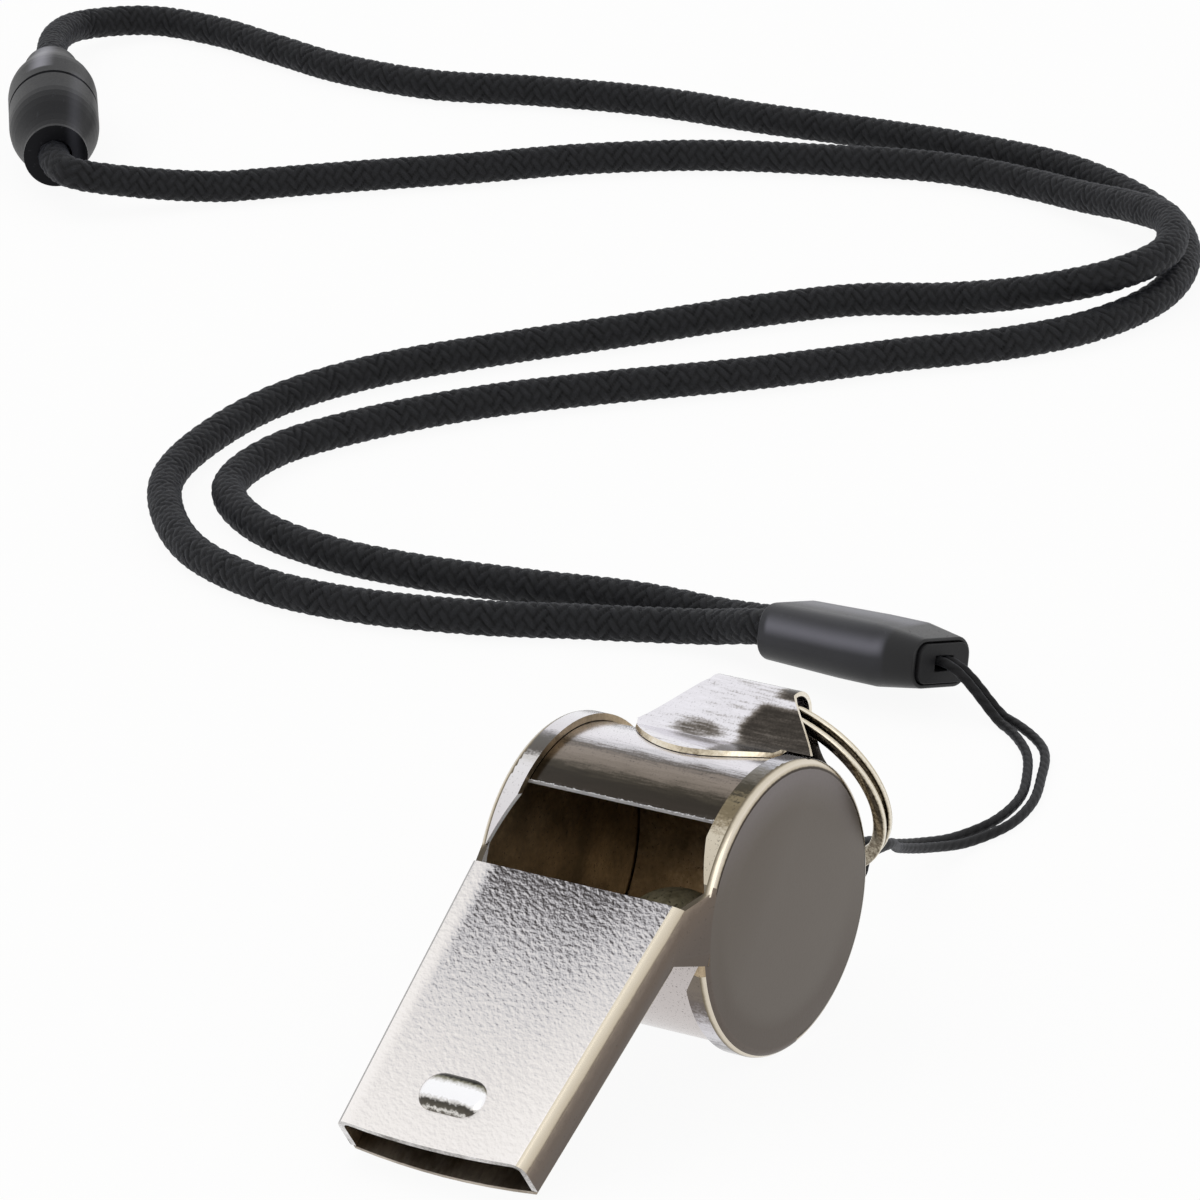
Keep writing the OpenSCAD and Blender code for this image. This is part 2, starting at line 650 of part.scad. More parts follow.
inner_route = [[-69.8, -38, 2], [-67.6, -46.5, 1.5], [-63.8, -56, 1.5], [-61.3, -66.5, 1.5],
    [-61.3, -75.5, 1.5], [-64.3, -84.5, 1.5], [-70.3, -92, 1.5], [-77.8, -97.5, 1.5],
    [-87.3, -100, 1.5], [-97.8, -100, 1.5], [-107.8, -96.5, 1.5], [-117.3, -90, 1.5],
    [-127.3, -82, 1.5], [-136.3, -75, 1.5], [-142.8, -68.5, 1.5], [-145.8, -61.5, 1.8],
    [-147.3, -54, 3.2], [-150.8, -47.5, 4.7], [-157.8, -46.1, 4.9], [-165.1, -49.8, 4.9],
    [-170.3, -56.5, 3.6], [-174.1, -64, 2.2], [-176.8, -72.5, 1.5], [-176.8, -81.5, 1.5],
    [-173.8, -92, 1.5], [-169.8, -102.5, 1.5], [-163.8, -112, 1.5], [-156.3, -120.5, 1.5],
    [-149.3, -129, 1.5], [-141.8, -137.5, 1.5], [-136.3, -143.5, 2.6], [-132.3, -148.5, 4]];

// Straight run of a cord and of the strap outside what holds them
cord_run = 1.75;
strap_run = 1;
clasp_in = clasp_half_l - clasp_bore_l;
clasp_out = clasp_half_l + cord_run;
outer_points = concat(
    [clamp_point([port_l, port_pitch / 2, 0]), clamp_point([-cord_run, port_pitch / 2, 0])],
    outer_route,
    [clasp_point([fit_gap + clasp_out, 0, 0]), clasp_point([fit_gap + clasp_in, 0, 0])]);
inner_points = concat(
    [clamp_point([port_l, -port_pitch / 2, 0]), clamp_point([-cord_run, -port_pitch / 2, 0])],
    inner_route,
    [clasp_point([-clasp_out, 0, 0]), clasp_point([-clasp_in, 0, 0])]);

module cord(points) tube(round_loops(points, cord_d, 8, [1, 0, 0]));

module cord_outer() color("#303038") cord(outer_points);
module cord_inner() color("#303038") cord(inner_points);

// The strap leaves the clamp doubled, lies on the ground and loops round the ring's wire
far_strand = [[-67.3, -8.9, 0.6], [-63.5, -4.1, 0.4], [-58.8, -1.1, 0.4], [-54.8, 0.6, 0.4],
    [-50.3, 1.1, 0.4], [-45.8, 0.3, 0.6], [-40.8, 0.1, 2], [-34.5, 1.3, 4.6], [-27.8, 4.3, 8]];
near_strand = [[-68.5, -9.3, 0.6], [-64.5, -3.1, 0.4], [-58.9, 0.1, 0.4], [-54.5, 1.9, 0.4],
    [-50.3, 2.5, 0.4], [-45.5, 1.7, 0.6], [-40.5, 1.4, 2], [-34.3, 2.6, 4.6], [-27.9, 5.7, 8]];
knot_a = 24;
knot_side = 0.55;
knot_air = 0.4;
knot_turn_a = 290;
knot_steps = 8;
knot_out = (wire_w + strap_d) / 2 + knot_air;
knot_deep = ring_half + strap_d / 2 + knot_air;
function knot_point(across, out, deep) =
    let (p = polar(ring_r + out, knot_a))
    whistle_point(ring_place([p[0] + ring_r - ring_rise, p[1], deep]
        + across * [-sin(knot_a), cos(knot_a), 0]) + [0, 0, barrel_r]);
knot = [for (k = [0 : knot_steps])
    let (a = 90 + knot_turn_a * (0.5 - k / knot_steps))
    knot_point(knot_side * (2 * k / knot_steps - 1), knot_out * cos(a), knot_deep * sin(a))];
strap_points = concat(
    [clamp_point([clamp_l - insert_l, -strap_pitch / 2, 0]),
    clamp_point([clamp_l + insert_proud + strap_run, -strap_pitch / 2, 0])],
    far_strand, knot, [for (k = [len(near_strand) - 1 : -1 : 0]) near_strand[k]],
    [clamp_point([clamp_l + insert_proud + strap_run, strap_pitch / 2, 0]),
    clamp_point([clamp_l - insert_l, strap_pitch / 2, 0])]);

module strap_loop() color("#1a1a1a") tube(round_loops(strap_points, strap_d, 8, [0, 0, 1]));

echo(outer_length = route_length(outer_points), inner_length = route_length(inner_points),
    strap_length = route_length(strap_points));

body_shell();
barrel_strip();
mouthpiece_floor();
windway_ramp();
pea();
ring_saddle();
split_ring();
strap_loop();
clamp_shell();
clamp_insert();
cord_outer();
cord_inner();
clasp_socket();
clasp_plug();
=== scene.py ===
"""Sports whistle of plated sheet metal, with a split ring, a strap, a cord clamp and a braided neck cord."""

import logging
import math
from dataclasses import dataclass
from enum import Enum, IntEnum

import bmesh
import bpy
import numpy as np
from mathutils import Matrix, Vector


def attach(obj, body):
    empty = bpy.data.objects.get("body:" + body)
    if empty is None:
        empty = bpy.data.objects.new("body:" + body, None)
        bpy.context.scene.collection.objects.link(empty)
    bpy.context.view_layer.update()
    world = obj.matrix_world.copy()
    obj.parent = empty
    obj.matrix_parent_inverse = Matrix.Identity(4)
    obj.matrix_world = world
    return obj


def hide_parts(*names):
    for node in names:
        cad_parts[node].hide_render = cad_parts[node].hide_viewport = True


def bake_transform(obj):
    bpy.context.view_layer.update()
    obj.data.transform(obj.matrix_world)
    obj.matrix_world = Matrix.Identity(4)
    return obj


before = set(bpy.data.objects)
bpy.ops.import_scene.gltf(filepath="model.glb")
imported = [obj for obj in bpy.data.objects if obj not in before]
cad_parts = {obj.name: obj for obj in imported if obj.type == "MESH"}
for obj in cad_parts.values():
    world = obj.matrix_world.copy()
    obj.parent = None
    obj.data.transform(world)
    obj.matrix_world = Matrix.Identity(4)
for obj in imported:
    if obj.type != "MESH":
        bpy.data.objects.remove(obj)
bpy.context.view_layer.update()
LOG = logging.getLogger("whistle")

MM = 0.001
# The barrel's axis in the frame, and the tilt of the top plate
AXIS = Vector((-8.604, -0.7, 11.0)) * MM
SLOPE = math.radians(32.847)
# Sizes in millimetres that the shell's zones and its finishes share: the radius and the half width at which the
# rims' rounding starts, the plate's height over the axis, and the radius of its bends
DISC_R = 10.3
RIM_IN = 9.3
PLATE_TOP = 11.0
BEND_R = 1.1
# Angles in degrees over which an edge stays sharp: on wound bands, and on the other pieces
BAND_CREASE = 35
CREASE = 30
# The distance under which corners of a solid are one, and the bend in degrees under which its faces are one
WELD = 2e-6
PLANAR = 0.4
BEVEL_STEPS = 2
# Patterns lie square to the frame or square to the plate
SQUARE = (0.0, 0.0, 0.0)
SLOPED = (0.0, SLOPE, 0.0)


def shown(red: float, green: float, blue: float) -> tuple:
    """Turns a colour as it shows on a screen, from 0 to 255, into a linear one."""
    return tuple(c / 255 / 12.92 if c <= 10.3 else ((c / 255 + 0.055) / 1.055) ** 2.4 for c in (red, green, blue))


class Num:
    """A socket that carries a number, with Python's own arithmetic."""

    def __init__(self, graph: "Graph", socket: object) -> None:
        """Wraps an output socket of a node tree."""
        self.graph = graph
        self.socket = socket

    def _math(self, operation: str, first: object, second: object = None) -> "Num":
        """Adds one Math node, and gives its result."""
        inputs = {0: first} if second is None else {0: first, 1: second}
        return self.graph.num("ShaderNodeMath", {"operation": operation}, inputs)

    def __add__(self, other: object) -> "Num":
        """Sum."""
        return self._math("ADD", self, other)

    __radd__ = __add__

    def __sub__(self, other: object) -> "Num":
        """Difference."""
        return self._math("SUBTRACT", self, other)

    def __rsub__(self, other: object) -> "Num":
        """Difference from a value."""
        return self._math("SUBTRACT", other, self)

    def __mul__(self, other: object) -> "Num":
        """Product."""
        return self._math("MULTIPLY", self, other)

    __rmul__ = __mul__

    def __truediv__(self, other: object) -> "Num":
        """Quotient."""
        return self._math("DIVIDE", self, other)

    def __pow__(self, other: object) -> "Num":
        """Power."""
        return self._math("POWER", self, other)

    def __abs__(self) -> "Num":
        """Size without its sign."""
        return self._math("ABSOLUTE", self)

    def cosine(self) -> "Num":
        """Cosine of an angle in radians."""
        return self._math("COSINE", self)

    def sine(self) -> "Num":
        """Sine of an angle in radians."""
        return self._math("SINE", self)

    def angle_to(self, along: "Num") -> "Num":
        """Angle in degrees, -180 to 180, of the point that lies this far up and another number along."""
        return self._math("ARCTAN2", self, along) * math.degrees(1)

    def above(self, edge: float, width: float) -> "Num":
        """Smooth step from 0 to 1, whose middle is at the edge and which is this wide in all."""
        return self.graph.num("ShaderNodeMapRange", {"interpolation_type": "SMOOTHSTEP"},
                              {0: self, 1: edge - width / 2, 2: edge + width / 2, 3: 0.0, 4: 1.0})

    def between(self, low: float, high: float, width: float) -> "Num":
        """Mask of a band from low to high, with edges of a width."""
        return self.above(low, width) * (1 - self.above(high, width))


class Graph:
    """A node tree and the one method that adds to it."""

    def __init__(self, tree: bpy.types.NodeTree) -> None:
        """Takes over a node tree."""
        self.tree = tree

    def node(self, kind: str, settings: dict | None = None, inputs: dict | None = None) -> bpy.types.Node:
        """Adds a node.

        Args:
            kind: the node's type.
            settings: its own settings, set first; a ramp's stops go under "stops".
            inputs: values or links of its input sockets, by name or index.

        Returns:
            The node.
        """
        made = self.tree.nodes.new(kind)
        for name, value in (settings or {}).items():
            if name == "stops":
                ramp = made.color_ramp
                while len(ramp.elements) < len(value):
                    ramp.elements.new(0.5)
                for element, (place, tint) in zip(ramp.elements, value):
                    element.position = place
                    element.color = (*tint, 1.0)
            else:
                setattr(made, name, value)
        for name, value in (inputs or {}).items():
            link = value.socket if isinstance(value, Num) else value
            if isinstance(link, bpy.types.NodeSocket):
                self.tree.links.new(link, made.inputs[name])
            else:
                made.inputs[name].default_value = link
        return made

    def num(self, kind: str, settings: dict | None = None, inputs: dict | None = None,
            output: int | str = 0) -> Num:
        """Adds a node and wraps one of its outputs as a number."""
        return Num(self, self.node(kind, settings, inputs).outputs[output])


class Shade(Graph):
    """The node tree of one material, with the patterns that this object's finishes share."""

    def __init__(self, name: str) -> None:
        """Makes an empty material.

        Args:
            name: the material's name.
        """
        self.material = bpy.data.materials.new(name)
        self.material.use_nodes = True
        super().__init__(self.material.node_tree)
        self.tree.nodes.clear()
        self.coords = self.node("ShaderNodeTexCoord")

    def mapped(self, scale: tuple = (1, 1, 1), turn: tuple = (0, 0, 0), centre: Vector = Vector()) -> object:
        """Object coordinates, centred, turned and scaled.

        Args:
            scale: the scale along each turned axis.
            turn: the pattern's rotation in radians.
            centre: the pattern's centre.

        Returns:
            The vector socket.
        """
        moved = self.node("ShaderNodeVectorMath", {"operation": "SUBTRACT"},
                          {0: self.coords.outputs["Object"], 1: tuple(centre)}).outputs[0]
        turned = self.node("ShaderNodeMapping", {"vector_type": "TEXTURE"},
                           {"Vector": moved, "Rotation": turn}).outputs[0]
        return self.node("ShaderNodeVectorMath", {"operation": "MULTIPLY"}, {0: turned, 1: scale}).outputs[0]

    def noise(self, where: object, size: float, detail: float = 3.0, rough: float = 0.55) -> Num:
        """Noise from 0 to 1 of a grain size in metres, with its number of finer layers and their weight."""
        return self.num("ShaderNodeTexNoise", {}, {"Vector": where, "Scale": 1 / size, "Detail": detail,
                                                   "Roughness": rough}, "Fac")

    def parts(self, turn: tuple = (0, 0, 0)) -> tuple:
        """Distances from the barrel's axis in millimetres, along axes turned by three angles in radians."""
        split = self.node("ShaderNodeSeparateXYZ", {}, {0: self.mapped((1 / MM,) * 3, turn, AXIS)})
        return tuple(Num(self, split.outputs[k]) for k in range(3))

    def bands(self, place: Num, stops: tuple) -> object:
        """Colours that run into each other along a number.

        Args:
            place: the number.
            stops: pairs of a number and the colour there as it shows on a screen.

        Returns:
            The colour socket.
        """
        low, high = stops[0][0], stops[-1][0]
        even = tuple(((at - low) / (high - low), shown(*tint)) for at, tint in stops)
        return self.node("ShaderNodeValToRGB", {"stops": even}, {0: (place - low) / (high - low)}).outputs[0]

    def mix(self, share: object, low: object, high: object) -> object:
        """Mixes two colours by the share of the second one."""
        pair = [(*c, 1.0) if isinstance(c, tuple) and len(c) == 3 else c for c in (low, high)]
        return self.node("ShaderNodeMix", {"data_type": "RGBA"}, {0: share, 6: pair[0], 7: pair[1]}).outputs[2]

    def bump(self, height: Num, depth: float) -> object:
        """Normal of a relief whose height, from 0 to 1, stands for a depth in metres."""
        return self.node("ShaderNodeBump", {}, {"Height": height, "Distance": depth, "Strength": 1.0}).outputs[0]

    def surface(self, constants: dict, links: dict) -> bpy.types.Material:
        """Ends the tree in one surface shader.

        Args:
            constants: values that hold all over the surface.
            links: sockets that vary over it.

        Returns:
            The finished material.
        """
        shader = self.node("ShaderNodeBsdfPrincipled", {}, {**constants, **links})
        self.node("ShaderNodeOutputMaterial", {}, {0: shader.outputs[0]})
        return self.material


class Course(Enum):
    """The line along which a plated surface's painted reflections and painted shade change its tone."""

    PLATE = "plate"
    BEND = "bend"
    WALL = "wall"
    DISC = "disc"
    BARREL = "barrel"
    EDGE = "edge"
    BOSS = "boss"
    SADDLE = "saddle"
    WIRE = "wire"
    PLAIN = "plain"


@dataclass(frozen=True)
class Marks:
    """Where the painted reflections and painted shade change tone, in millimetres and degrees from the barrel's axis.

    A pair is the middle and the width of a soft edge. The saddle's dimple has two other pairs, its place and its
    tightness along x and y, and the disc's front is a start, a reach and the width of its edges.
    """

    seam_a: float = 210.0
    disc_ring: tuple = (8.4, 2.6)
    disc_front: tuple = (-6, 30, 8)
    disc_front_ring: tuple = (8.6, 1.6)
    # The disc's front is darker by this much: painted shade.
    disc_front_drop: float = -3
    boss_u: float = 26.8
    wall_half: float = 9
    wall_u: float = 7.6
    wall_taper: float = 23.6
    # The plate's right side and left edge are lighter: painted reflection.
    plate_right: tuple = (5, 5)
    plate_right_lift: float = 3.4
    plate_left: tuple = (-6.9, 1.4)
    plate_left_lift: float = 14
    # Where the saddle's painted shade lies.
    saddle_crest: float = -9.2
    saddle_fade: float = 3
    shade_z: float = 10.9
    shade_slant: float = 0.75
    shade_side: tuple = (2.9, 1.1)
    shade_top: tuple = (12.25, 0.4)
    shade_front: tuple = (-4, 7)
    dent_at: tuple = (-4.4, -0.3)
    dent_tight: tuple = (1.1, 0.17)
    dent_edge: tuple = (0.85, 0.75)
    mouth_side: tuple = (4.8, 1.3)
    mouth_low: tuple = (12.75, 0.3)
    # The saddle darkens towards the right.
    streaks: tuple = (1, 9)


@dataclass(frozen=True)
class PlatedMetal:
    """Nickel-plated sheet or wire: painted reflections and shade along its course, its grain and its wear."""

    name: str
    course: Course
    # Tones along the course, as a screen shows them: painted reflections and painted shade.
    stops: tuple
    roughness: float = 0.2
    spread: float = 0.05
    size: float = 0.3 * MM
    relief: float = 0.006 * MM
    stretch: tuple = (1, 1, 1)
    ragged: float = 0.0
    turn: tuple = SQUARE
    speckle: float = 0.0
    speck_tint: tuple = (0.03, 0.027, 0.022)
    metallic: float = 1.0
    painted_relief_step: float = 0.0
    speck_edge: tuple = (0.66, 0.07)
    layers: tuple = (4, 0.6)
    patch: float = 4.5 * MM
    pit_size: float = 0.6
    grain_share: float = 0.8
    pit_share: float = 0.35
    painted_relief_share: float = 0.9
    plain_share: float = 0.12
    cloud: float = 5 * MM
    marks: Marks = Marks()

    def place(self, s: Shade) -> Num:
        """Measures where a point lies on the finish's course, which sets its painted reflection and shade.

        Args:
            s: the material's tree.

        Returns:
            A distance in millimetres or an angle in degrees.
        """
        m = self.marks
        x, y, z = s.parts()
        if self.course is Course.BARREL:
            back = math.radians(m.seam_a)
            ahead = x * math.cos(back) + z * math.sin(back)
            up = z * math.cos(back) - x * math.sin(back)
            return up.angle_to(ahead) + m.seam_a
        far = (x * x + z * z) ** 0.5
        if self.course is Course.DISC:
            start, reach, fade = m.disc_front
            # The disc's front is darker: painted shade.
            front = (x - start).between(0, reach, fade) * far.above(*m.disc_front_ring)
            return z * far.above(*m.disc_ring) + front * m.disc_front_drop
        if self.course is Course.EDGE:
            return (far - DISC_R).angle_to(abs(y) - RIM_IN)
        if self.course is Course.SADDLE:
            return self.saddle(x, y, z)
        if self.course is Course.WIRE:
            lay = s.num("ShaderNodeAttribute", {"attribute_name": "lay"}, {}, "Fac")
            return lay / MM
        if self.course is Course.PLAIN:
            return s.noise(s.mapped(centre=AXIS), self.patch, 4)
        u, across, n = s.parts(SLOPED)
        if self.course is Course.BOSS:
            return u - m.boss_u
        if self.course is Course.BEND:
            half = m.wall_half - (u - m.wall_u) / m.wall_taper
            return (n - (PLATE_TOP - BEND_R)).angle_to(abs(across) - half + BEND_R)
        if self.course is Course.WALL:
            return n
        # The plate is lighter towards its right side and its left edge: painted reflection.
        right = across.above(*m.plate_right) * m.plate_right_lift
        return u + right + (1 - across.above(*m.plate_left)) * m.plate_left_lift

    def saddle(self, x: Num, y: Num, z: Num) -> Num:
        """Measures the saddle's painted shade: on its side, at a dimple, in the tunnel's opening and towards the
        right.

        Args:
            x: the distance ahead of the barrel's axis.
            y: the distance to the right.
            z: the height.

        Returns:
            The darkness, from 0 to about 1.
        """
        m = self.marks
        front = (x - m.saddle_crest).above(0, m.saddle_fade)
        # Painted shade on the saddle's right side, below its top.
        side = (y - abs(z - m.shade_z) * m.shade_slant).above(*m.shade_side)
        shade = side * (1 - z.above(*m.shade_top)) * front * (0.95 - x.above(*m.shade_front) * 0.4)
        # Painted shade of a dimple that the sheet doesn't have.
        across, along = ((y - m.dent_at[1]) ** 2.0) * m.dent_tight[1], ((x - m.dent_at[0]) ** 2.0) * m.dent_tight[0]
        dent_shade = (1 - ((across + along) ** 0.5).above(*m.dent_edge)) * front
        # Painted shadow in the tunnel's opening.
        mouth_shadow = y.above(*m.mouth_side) * z.above(*m.mouth_low)
        # The last term darkens the saddle towards the right.
        return shade + dent_shade * 0.56 + mouth_shadow * 0.85 + y.above(*m.streaks) * 0.16

    def material(self) -> bpy.types.Material:
        """Builds the plated finish.

        Returns:
            The material.
        """
        s = Shade(self.name)
        along = s.mapped(self.stretch, self.turn, AXIS)
        plain = s.mapped(centre=AXIS)
        fine = s.noise(along, self.size, *self.layers)
        pits = s.noise(plain, self.size * self.pit_size, 2)
        cloud = s.noise(plain, self.cloud, 3)
        jitter = (fine - 0.5) * self.grain_share + (pits - 0.5) * self.pit_share
        # Painted light and shade of the grain's bumps: the tone follows how the grain's noise changes over a small
        # step.
        if self.painted_relief_step > 0:
            beside = s.node("ShaderNodeVectorMath", {"operation": "ADD"}, {0: along, 1: (self.painted_relief_step, 0, 0)})
            slope = fine - s.noise(beside.outputs[0], self.size, *self.layers)
            jitter = slope * self.painted_relief_share + (fine - 0.5) * self.plain_share
        # The tone bands along the course are painted reflections and painted shade.
        colour = s.bands(self.place(s) + jitter * self.ragged, self.stops)
        if self.speckle > 0:
            colour = s.mix(pits.above(*self.speck_edge) * self.speckle, colour, self.speck_tint)
        rough = self.roughness + jitter * self.spread * 2 + (cloud - 0.5) * self.spread
        relief = s.bump(fine * 0.7 + pits * 0.3, self.relief)
        return s.surface({"Metallic": self.metallic}, {"Base Color": colour, "Roughness": rough, "Normal": relief})


@dataclass(frozen=True)
class Sheen:
    """A band of painted light and shade along a moulding: its place across and its two ends along, in millimetres."""

    across: tuple
    middle: float
    width: float
    along: tuple
    start: float
    end: float
    tone: tuple
    amount: float
    fade_in: float = 0.5
    fade_out: float = 1.0

    def mask(self, s: Shade) -> Num:
        """Measures how much of the band a point has.

        Args:
            s: the material's tree.

        Returns:
            The mask.
        """
        x, y, z = s.parts()
        side, way = (x * a + y * b + z * c for a, b, c in (self.across, self.along))
        soft = 1 - abs(side - self.middle).above(self.width * 0.5, self.width)
        return soft * way.above(self.start, self.fade_in) * (1 - way.above(self.end, self.fade_out)) * self.amount


@dataclass(frozen=True)
class MouldedPlastic:
    """Black moulded plastic with a faint texture from its mould, and any bands of painted highlight and painted
    shade.
    """

    name: str
    tint: tuple
    roughness: float
    gloss: float
    size: float
    relief: float
    painted_bands: tuple = ()
    cloud: float = 6 * MM
    cloud_edge: tuple = (0.5, 0.4)
    cloud_gain: float = 1.4
    scuff: float = 0.35 * MM
    scuff_edge: tuple = (0.7, 0.08)
    scuff_tint: tuple = shown(70, 71, 76)
    scuff_share: float = 0.25
    scuff_rough: float = 0.1
    grain_rough: float = 0.16

    def material(self) -> bpy.types.Material:
        """Builds the plastic finish.

        Returns:
            The material.
        """
        s = Shade(self.name)
        fine = s.noise(s.mapped(), self.size, 3)
        cloud = s.noise(s.mapped(), self.cloud, 3)
        scuffs = s.noise(s.mapped((0.1, 1, 1), (0, 0, 0.6)), self.scuff, 2).above(*self.scuff_edge)
        colour = s.mix(cloud.above(*self.cloud_edge), self.tint, tuple(c * self.cloud_gain for c in self.tint))
        colour = s.mix(scuffs * self.scuff_share, colour, self.scuff_tint)
        # Bands of painted highlight and painted shade.
        for sheen in self.painted_bands:
            colour = s.mix(sheen.mask(s), colour, sheen.tone)
        rough = self.roughness + (fine - 0.5) * self.grain_rough + scuffs * self.scuff_rough
        return s.surface({"Specular IOR Level": self.gloss},
                         {"Base Color": colour, "Roughness": rough, "Normal": s.bump(fine, self.relief)})


@dataclass(frozen=True)
class TwistedYarn:
    """Polyester yarn, with painted shade in the grooves between its strands and a painted highlight on their ridges.
    """

    name: str
    tint: tuple
    fibre: float
    fuzz: float = 0.12 * MM
    groove_edge: tuple = (0.55, 0.8)
    groove_gain: float = 0.15
    fleck_edge: tuple = (0.6, 0.2)
    fleck_gain: float = 3
    fleck_share: float = 0.5
    gloss: float = 0.18
    sheen: float = 0.08

    def material(self) -> bpy.types.Material:
        """Builds the yarn finish from the piece's own ridge attribute and its map along the strands.

        Returns:
            The material.
        """
        s = Shade(self.name)
        ridge = s.num("ShaderNodeAttribute", {"attribute_name": "ridge"}, {}, "Fac")
        lay = s.node("ShaderNodeUVMap", {"uv_map": "strand"}).outputs[0]
        fibre = s.num("ShaderNodeTexNoise", {}, {"Vector": lay, "Scale": 1.0, "Detail": 3.0}, "Fac")
        fuzz = s.noise(s.mapped(), self.fuzz, 3)
        groove_shade, ridge_glint = (tuple(c * gain for c in self.tint) for gain in (self.groove_gain, self.fleck_gain))
        # Painted shade in the grooves between the strands.
        colour = s.mix(ridge.above(*self.groove_edge), groove_shade, self.tint)
        # Lighter flecks along the fibres on the strands' ridges: a painted highlight.
        colour = s.mix(fibre.above(*self.fleck_edge) * ridge * self.fleck_share, colour, ridge_glint)
        relief = s.bump(fibre * 0.7 + fuzz * 0.3, self.fibre)
        return s.surface({"Sheen Weight": self.sheen, "Sheen Roughness": 0.35,
                          "Sheen Tint": (0.6, 0.65, 0.85, 1.0), "Specular IOR Level": self.gloss},
                         {"Base Color": colour, "Roughness": 0.55 + (fibre - 0.5) * 0.3, "Normal": relief})


@dataclass(frozen=True)
class Cork:
    """Pressed cork with darker pores."""

    name: str
    light: tuple
    dark: tuple
    grain: float = 0.8 * MM
    pore: float = 0.35 * MM
    pore_edge: tuple = (0.62, 0.1)
    pore_share: float = 0.75
    pore_gain: float = 0.4
    cloud_edge: tuple = (0.5, 0.35)
    relief: float = 0.08 * MM

    def material(self) -> bpy.types.Material:
        """Builds the cork finish.

        Returns:
            The material.
        """
        s = Shade(self.name)
        cloud = s.noise(s.mapped(), self.grain, 5, 0.65)
        pores = s.noise(s.mapped(), self.pore, 3).above(*self.pore_edge)
        colour = s.mix(cloud.above(*self.cloud_edge), self.dark, self.light)
        colour = s.mix(pores * self.pore_share, colour, tuple(c * self.pore_gain for c in self.dark))
        relief = s.bump(cloud * 0.6 - pores * 0.6, self.relief)
        return s.surface({}, {"Base Color": colour, "Roughness": 0.72 + (cloud - 0.5) * 0.2, "Normal": relief})


def dress_cad(node: str, material: bpy.types.Material) -> bpy.types.Object:
    """Gives a CAD node's own solid a material.

    Args:
        node: the CAD node.
        material: its new material.

    Returns:
        The node's object.
    """
    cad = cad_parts[node]
    cad.data.materials.clear()
    cad.data.materials.append(material)
    return cad


def mesh_object(name: str, points: object, faces: list, mats: list) -> bpy.types.Object:
    """Makes an object from points and faces.

    Args:
        name: the piece's name.
        points: its corners in metres.
        faces: its faces.
        mats: its materials.

    Returns:
        The object, linked to the scene.
    """
    mesh = bpy.data.meshes.new(name)
    mesh.from_pydata([tuple(p) for p in points], [], faces)
    mesh.update()
    made = bpy.data.objects.new(name, mesh)
    bpy.context.scene.collection.objects.link(made)
    for m in mats:
        mesh.materials.append(m)
    return made


def welded_copy(node: str, name: str, crease: float, edge: float) -> bpy.types.Object:
    """Copies a CAD node's solid, welds it, rounds its sharp edges and shades it smooth.

    Args:
        node: the CAD node.
        name: the new piece's name.
        crease: the angle in degrees above which an edge is sharp.
        edge: the radius of its rounded edges.

    Returns:
        The new piece, which replaces the node.
    """
    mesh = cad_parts[node].data.copy()
    mesh.name = name
    mesh.materials.clear()
    bm = bmesh.new()
    bm.from_mesh(mesh)
    bmesh.ops.remove_doubles(bm, verts=bm.verts, dist=WELD)
    bmesh.ops.dissolve_degenerate(bm, edges=bm.edges, dist=WELD)
    bmesh.ops.dissolve_limit(bm, angle_limit=math.radians(PLANAR), verts=bm.verts, edges=bm.edges)
    bm.to_mesh(mesh)
    bm.free()
    made = bpy.data.objects.new(name, mesh)
    bpy.context.scene.collection.objects.link(made)
    mesh.shade_smooth()
    mesh.set_sharp_from_angle(angle=math.radians(crease))
    bevel = made.modifiers.new("edges", "BEVEL")
    bevel.width = edge
    bevel.segments = BEVEL_STEPS
    bevel.limit_method = "ANGLE"
    bevel.angle_limit = math.radians(crease)
    bevel.use_clamp_overlap = True
    bevel.harden_normals = True
    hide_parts(node)
    return made


class NodeTool(Graph):
    """A geometry node tree with named inputs that makes one piece."""

    def __init__(self, name: str, inputs: dict) -> None:
        """Makes the tree and its inputs.

        Args:
            name: the tree's name.
            inputs: the type and the value of each named input.
        """
        super().__init__(bpy.data.node_groups.new(name, "GeometryNodeTree"))
        self.name = name
        self.values = {}
        for label, (kind, value) in inputs.items():
            made = self.tree.interface.new_socket(name=label, in_out="INPUT", socket_type="NodeSocket" + kind)
            self.values[made.identifier] = value
        self.tree.interface.new_socket(name="Geometry", in_out="OUTPUT", socket_type="NodeSocketGeometry")
        self.given = self.node("NodeGroupInput").outputs

    def number(self, label: str) -> Num:
        """Wraps a named input as a number."""
        return Num(self, self.given[label])

    def piece(self, shape: object) -> bpy.types.Object:
        """Ends the tree, runs it and keeps its result as a plain mesh.

        Args:
            shape: the geometry socket that the tree ends in.

        Returns:
            The piece, with its faces outward.
        """
        real = self.node("GeometryNodeRealizeInstances", {}, {0: shape}).outputs[0]
        tinted = self.node("GeometryNodeSetMaterial", {}, {"Geometry": real, "Material": self.given["Material"]})
        self.node("NodeGroupOutput", {}, {0: tinted.outputs[0]})
        holder = mesh_object(self.name + "_seed", [(0, 0, 0)], [], [])
        modifier = holder.modifiers.new("maker", "NODES")
        modifier.node_group = self.tree
        for identifier, value in self.values.items():
            modifier[identifier] = value
        mesh = bpy.data.meshes.new_from_object(holder.evaluated_get(bpy.context.evaluated_depsgraph_get()))
        bpy.data.objects.remove(holder)
        bm = bmesh.new()
        bm.from_mesh(mesh)
        bmesh.ops.recalc_face_normals(bm, faces=bm.faces)
        bm.to_mesh(mesh)
        bm.free()
        mesh.name = self.name
        made = bpy.data.objects.new(self.name, mesh)
        bpy.context.scene.collection.objects.link(made)
        mesh.shade_smooth()
        mesh.set_sharp_from_angle(angle=math.radians(BAND_CREASE))
        return made


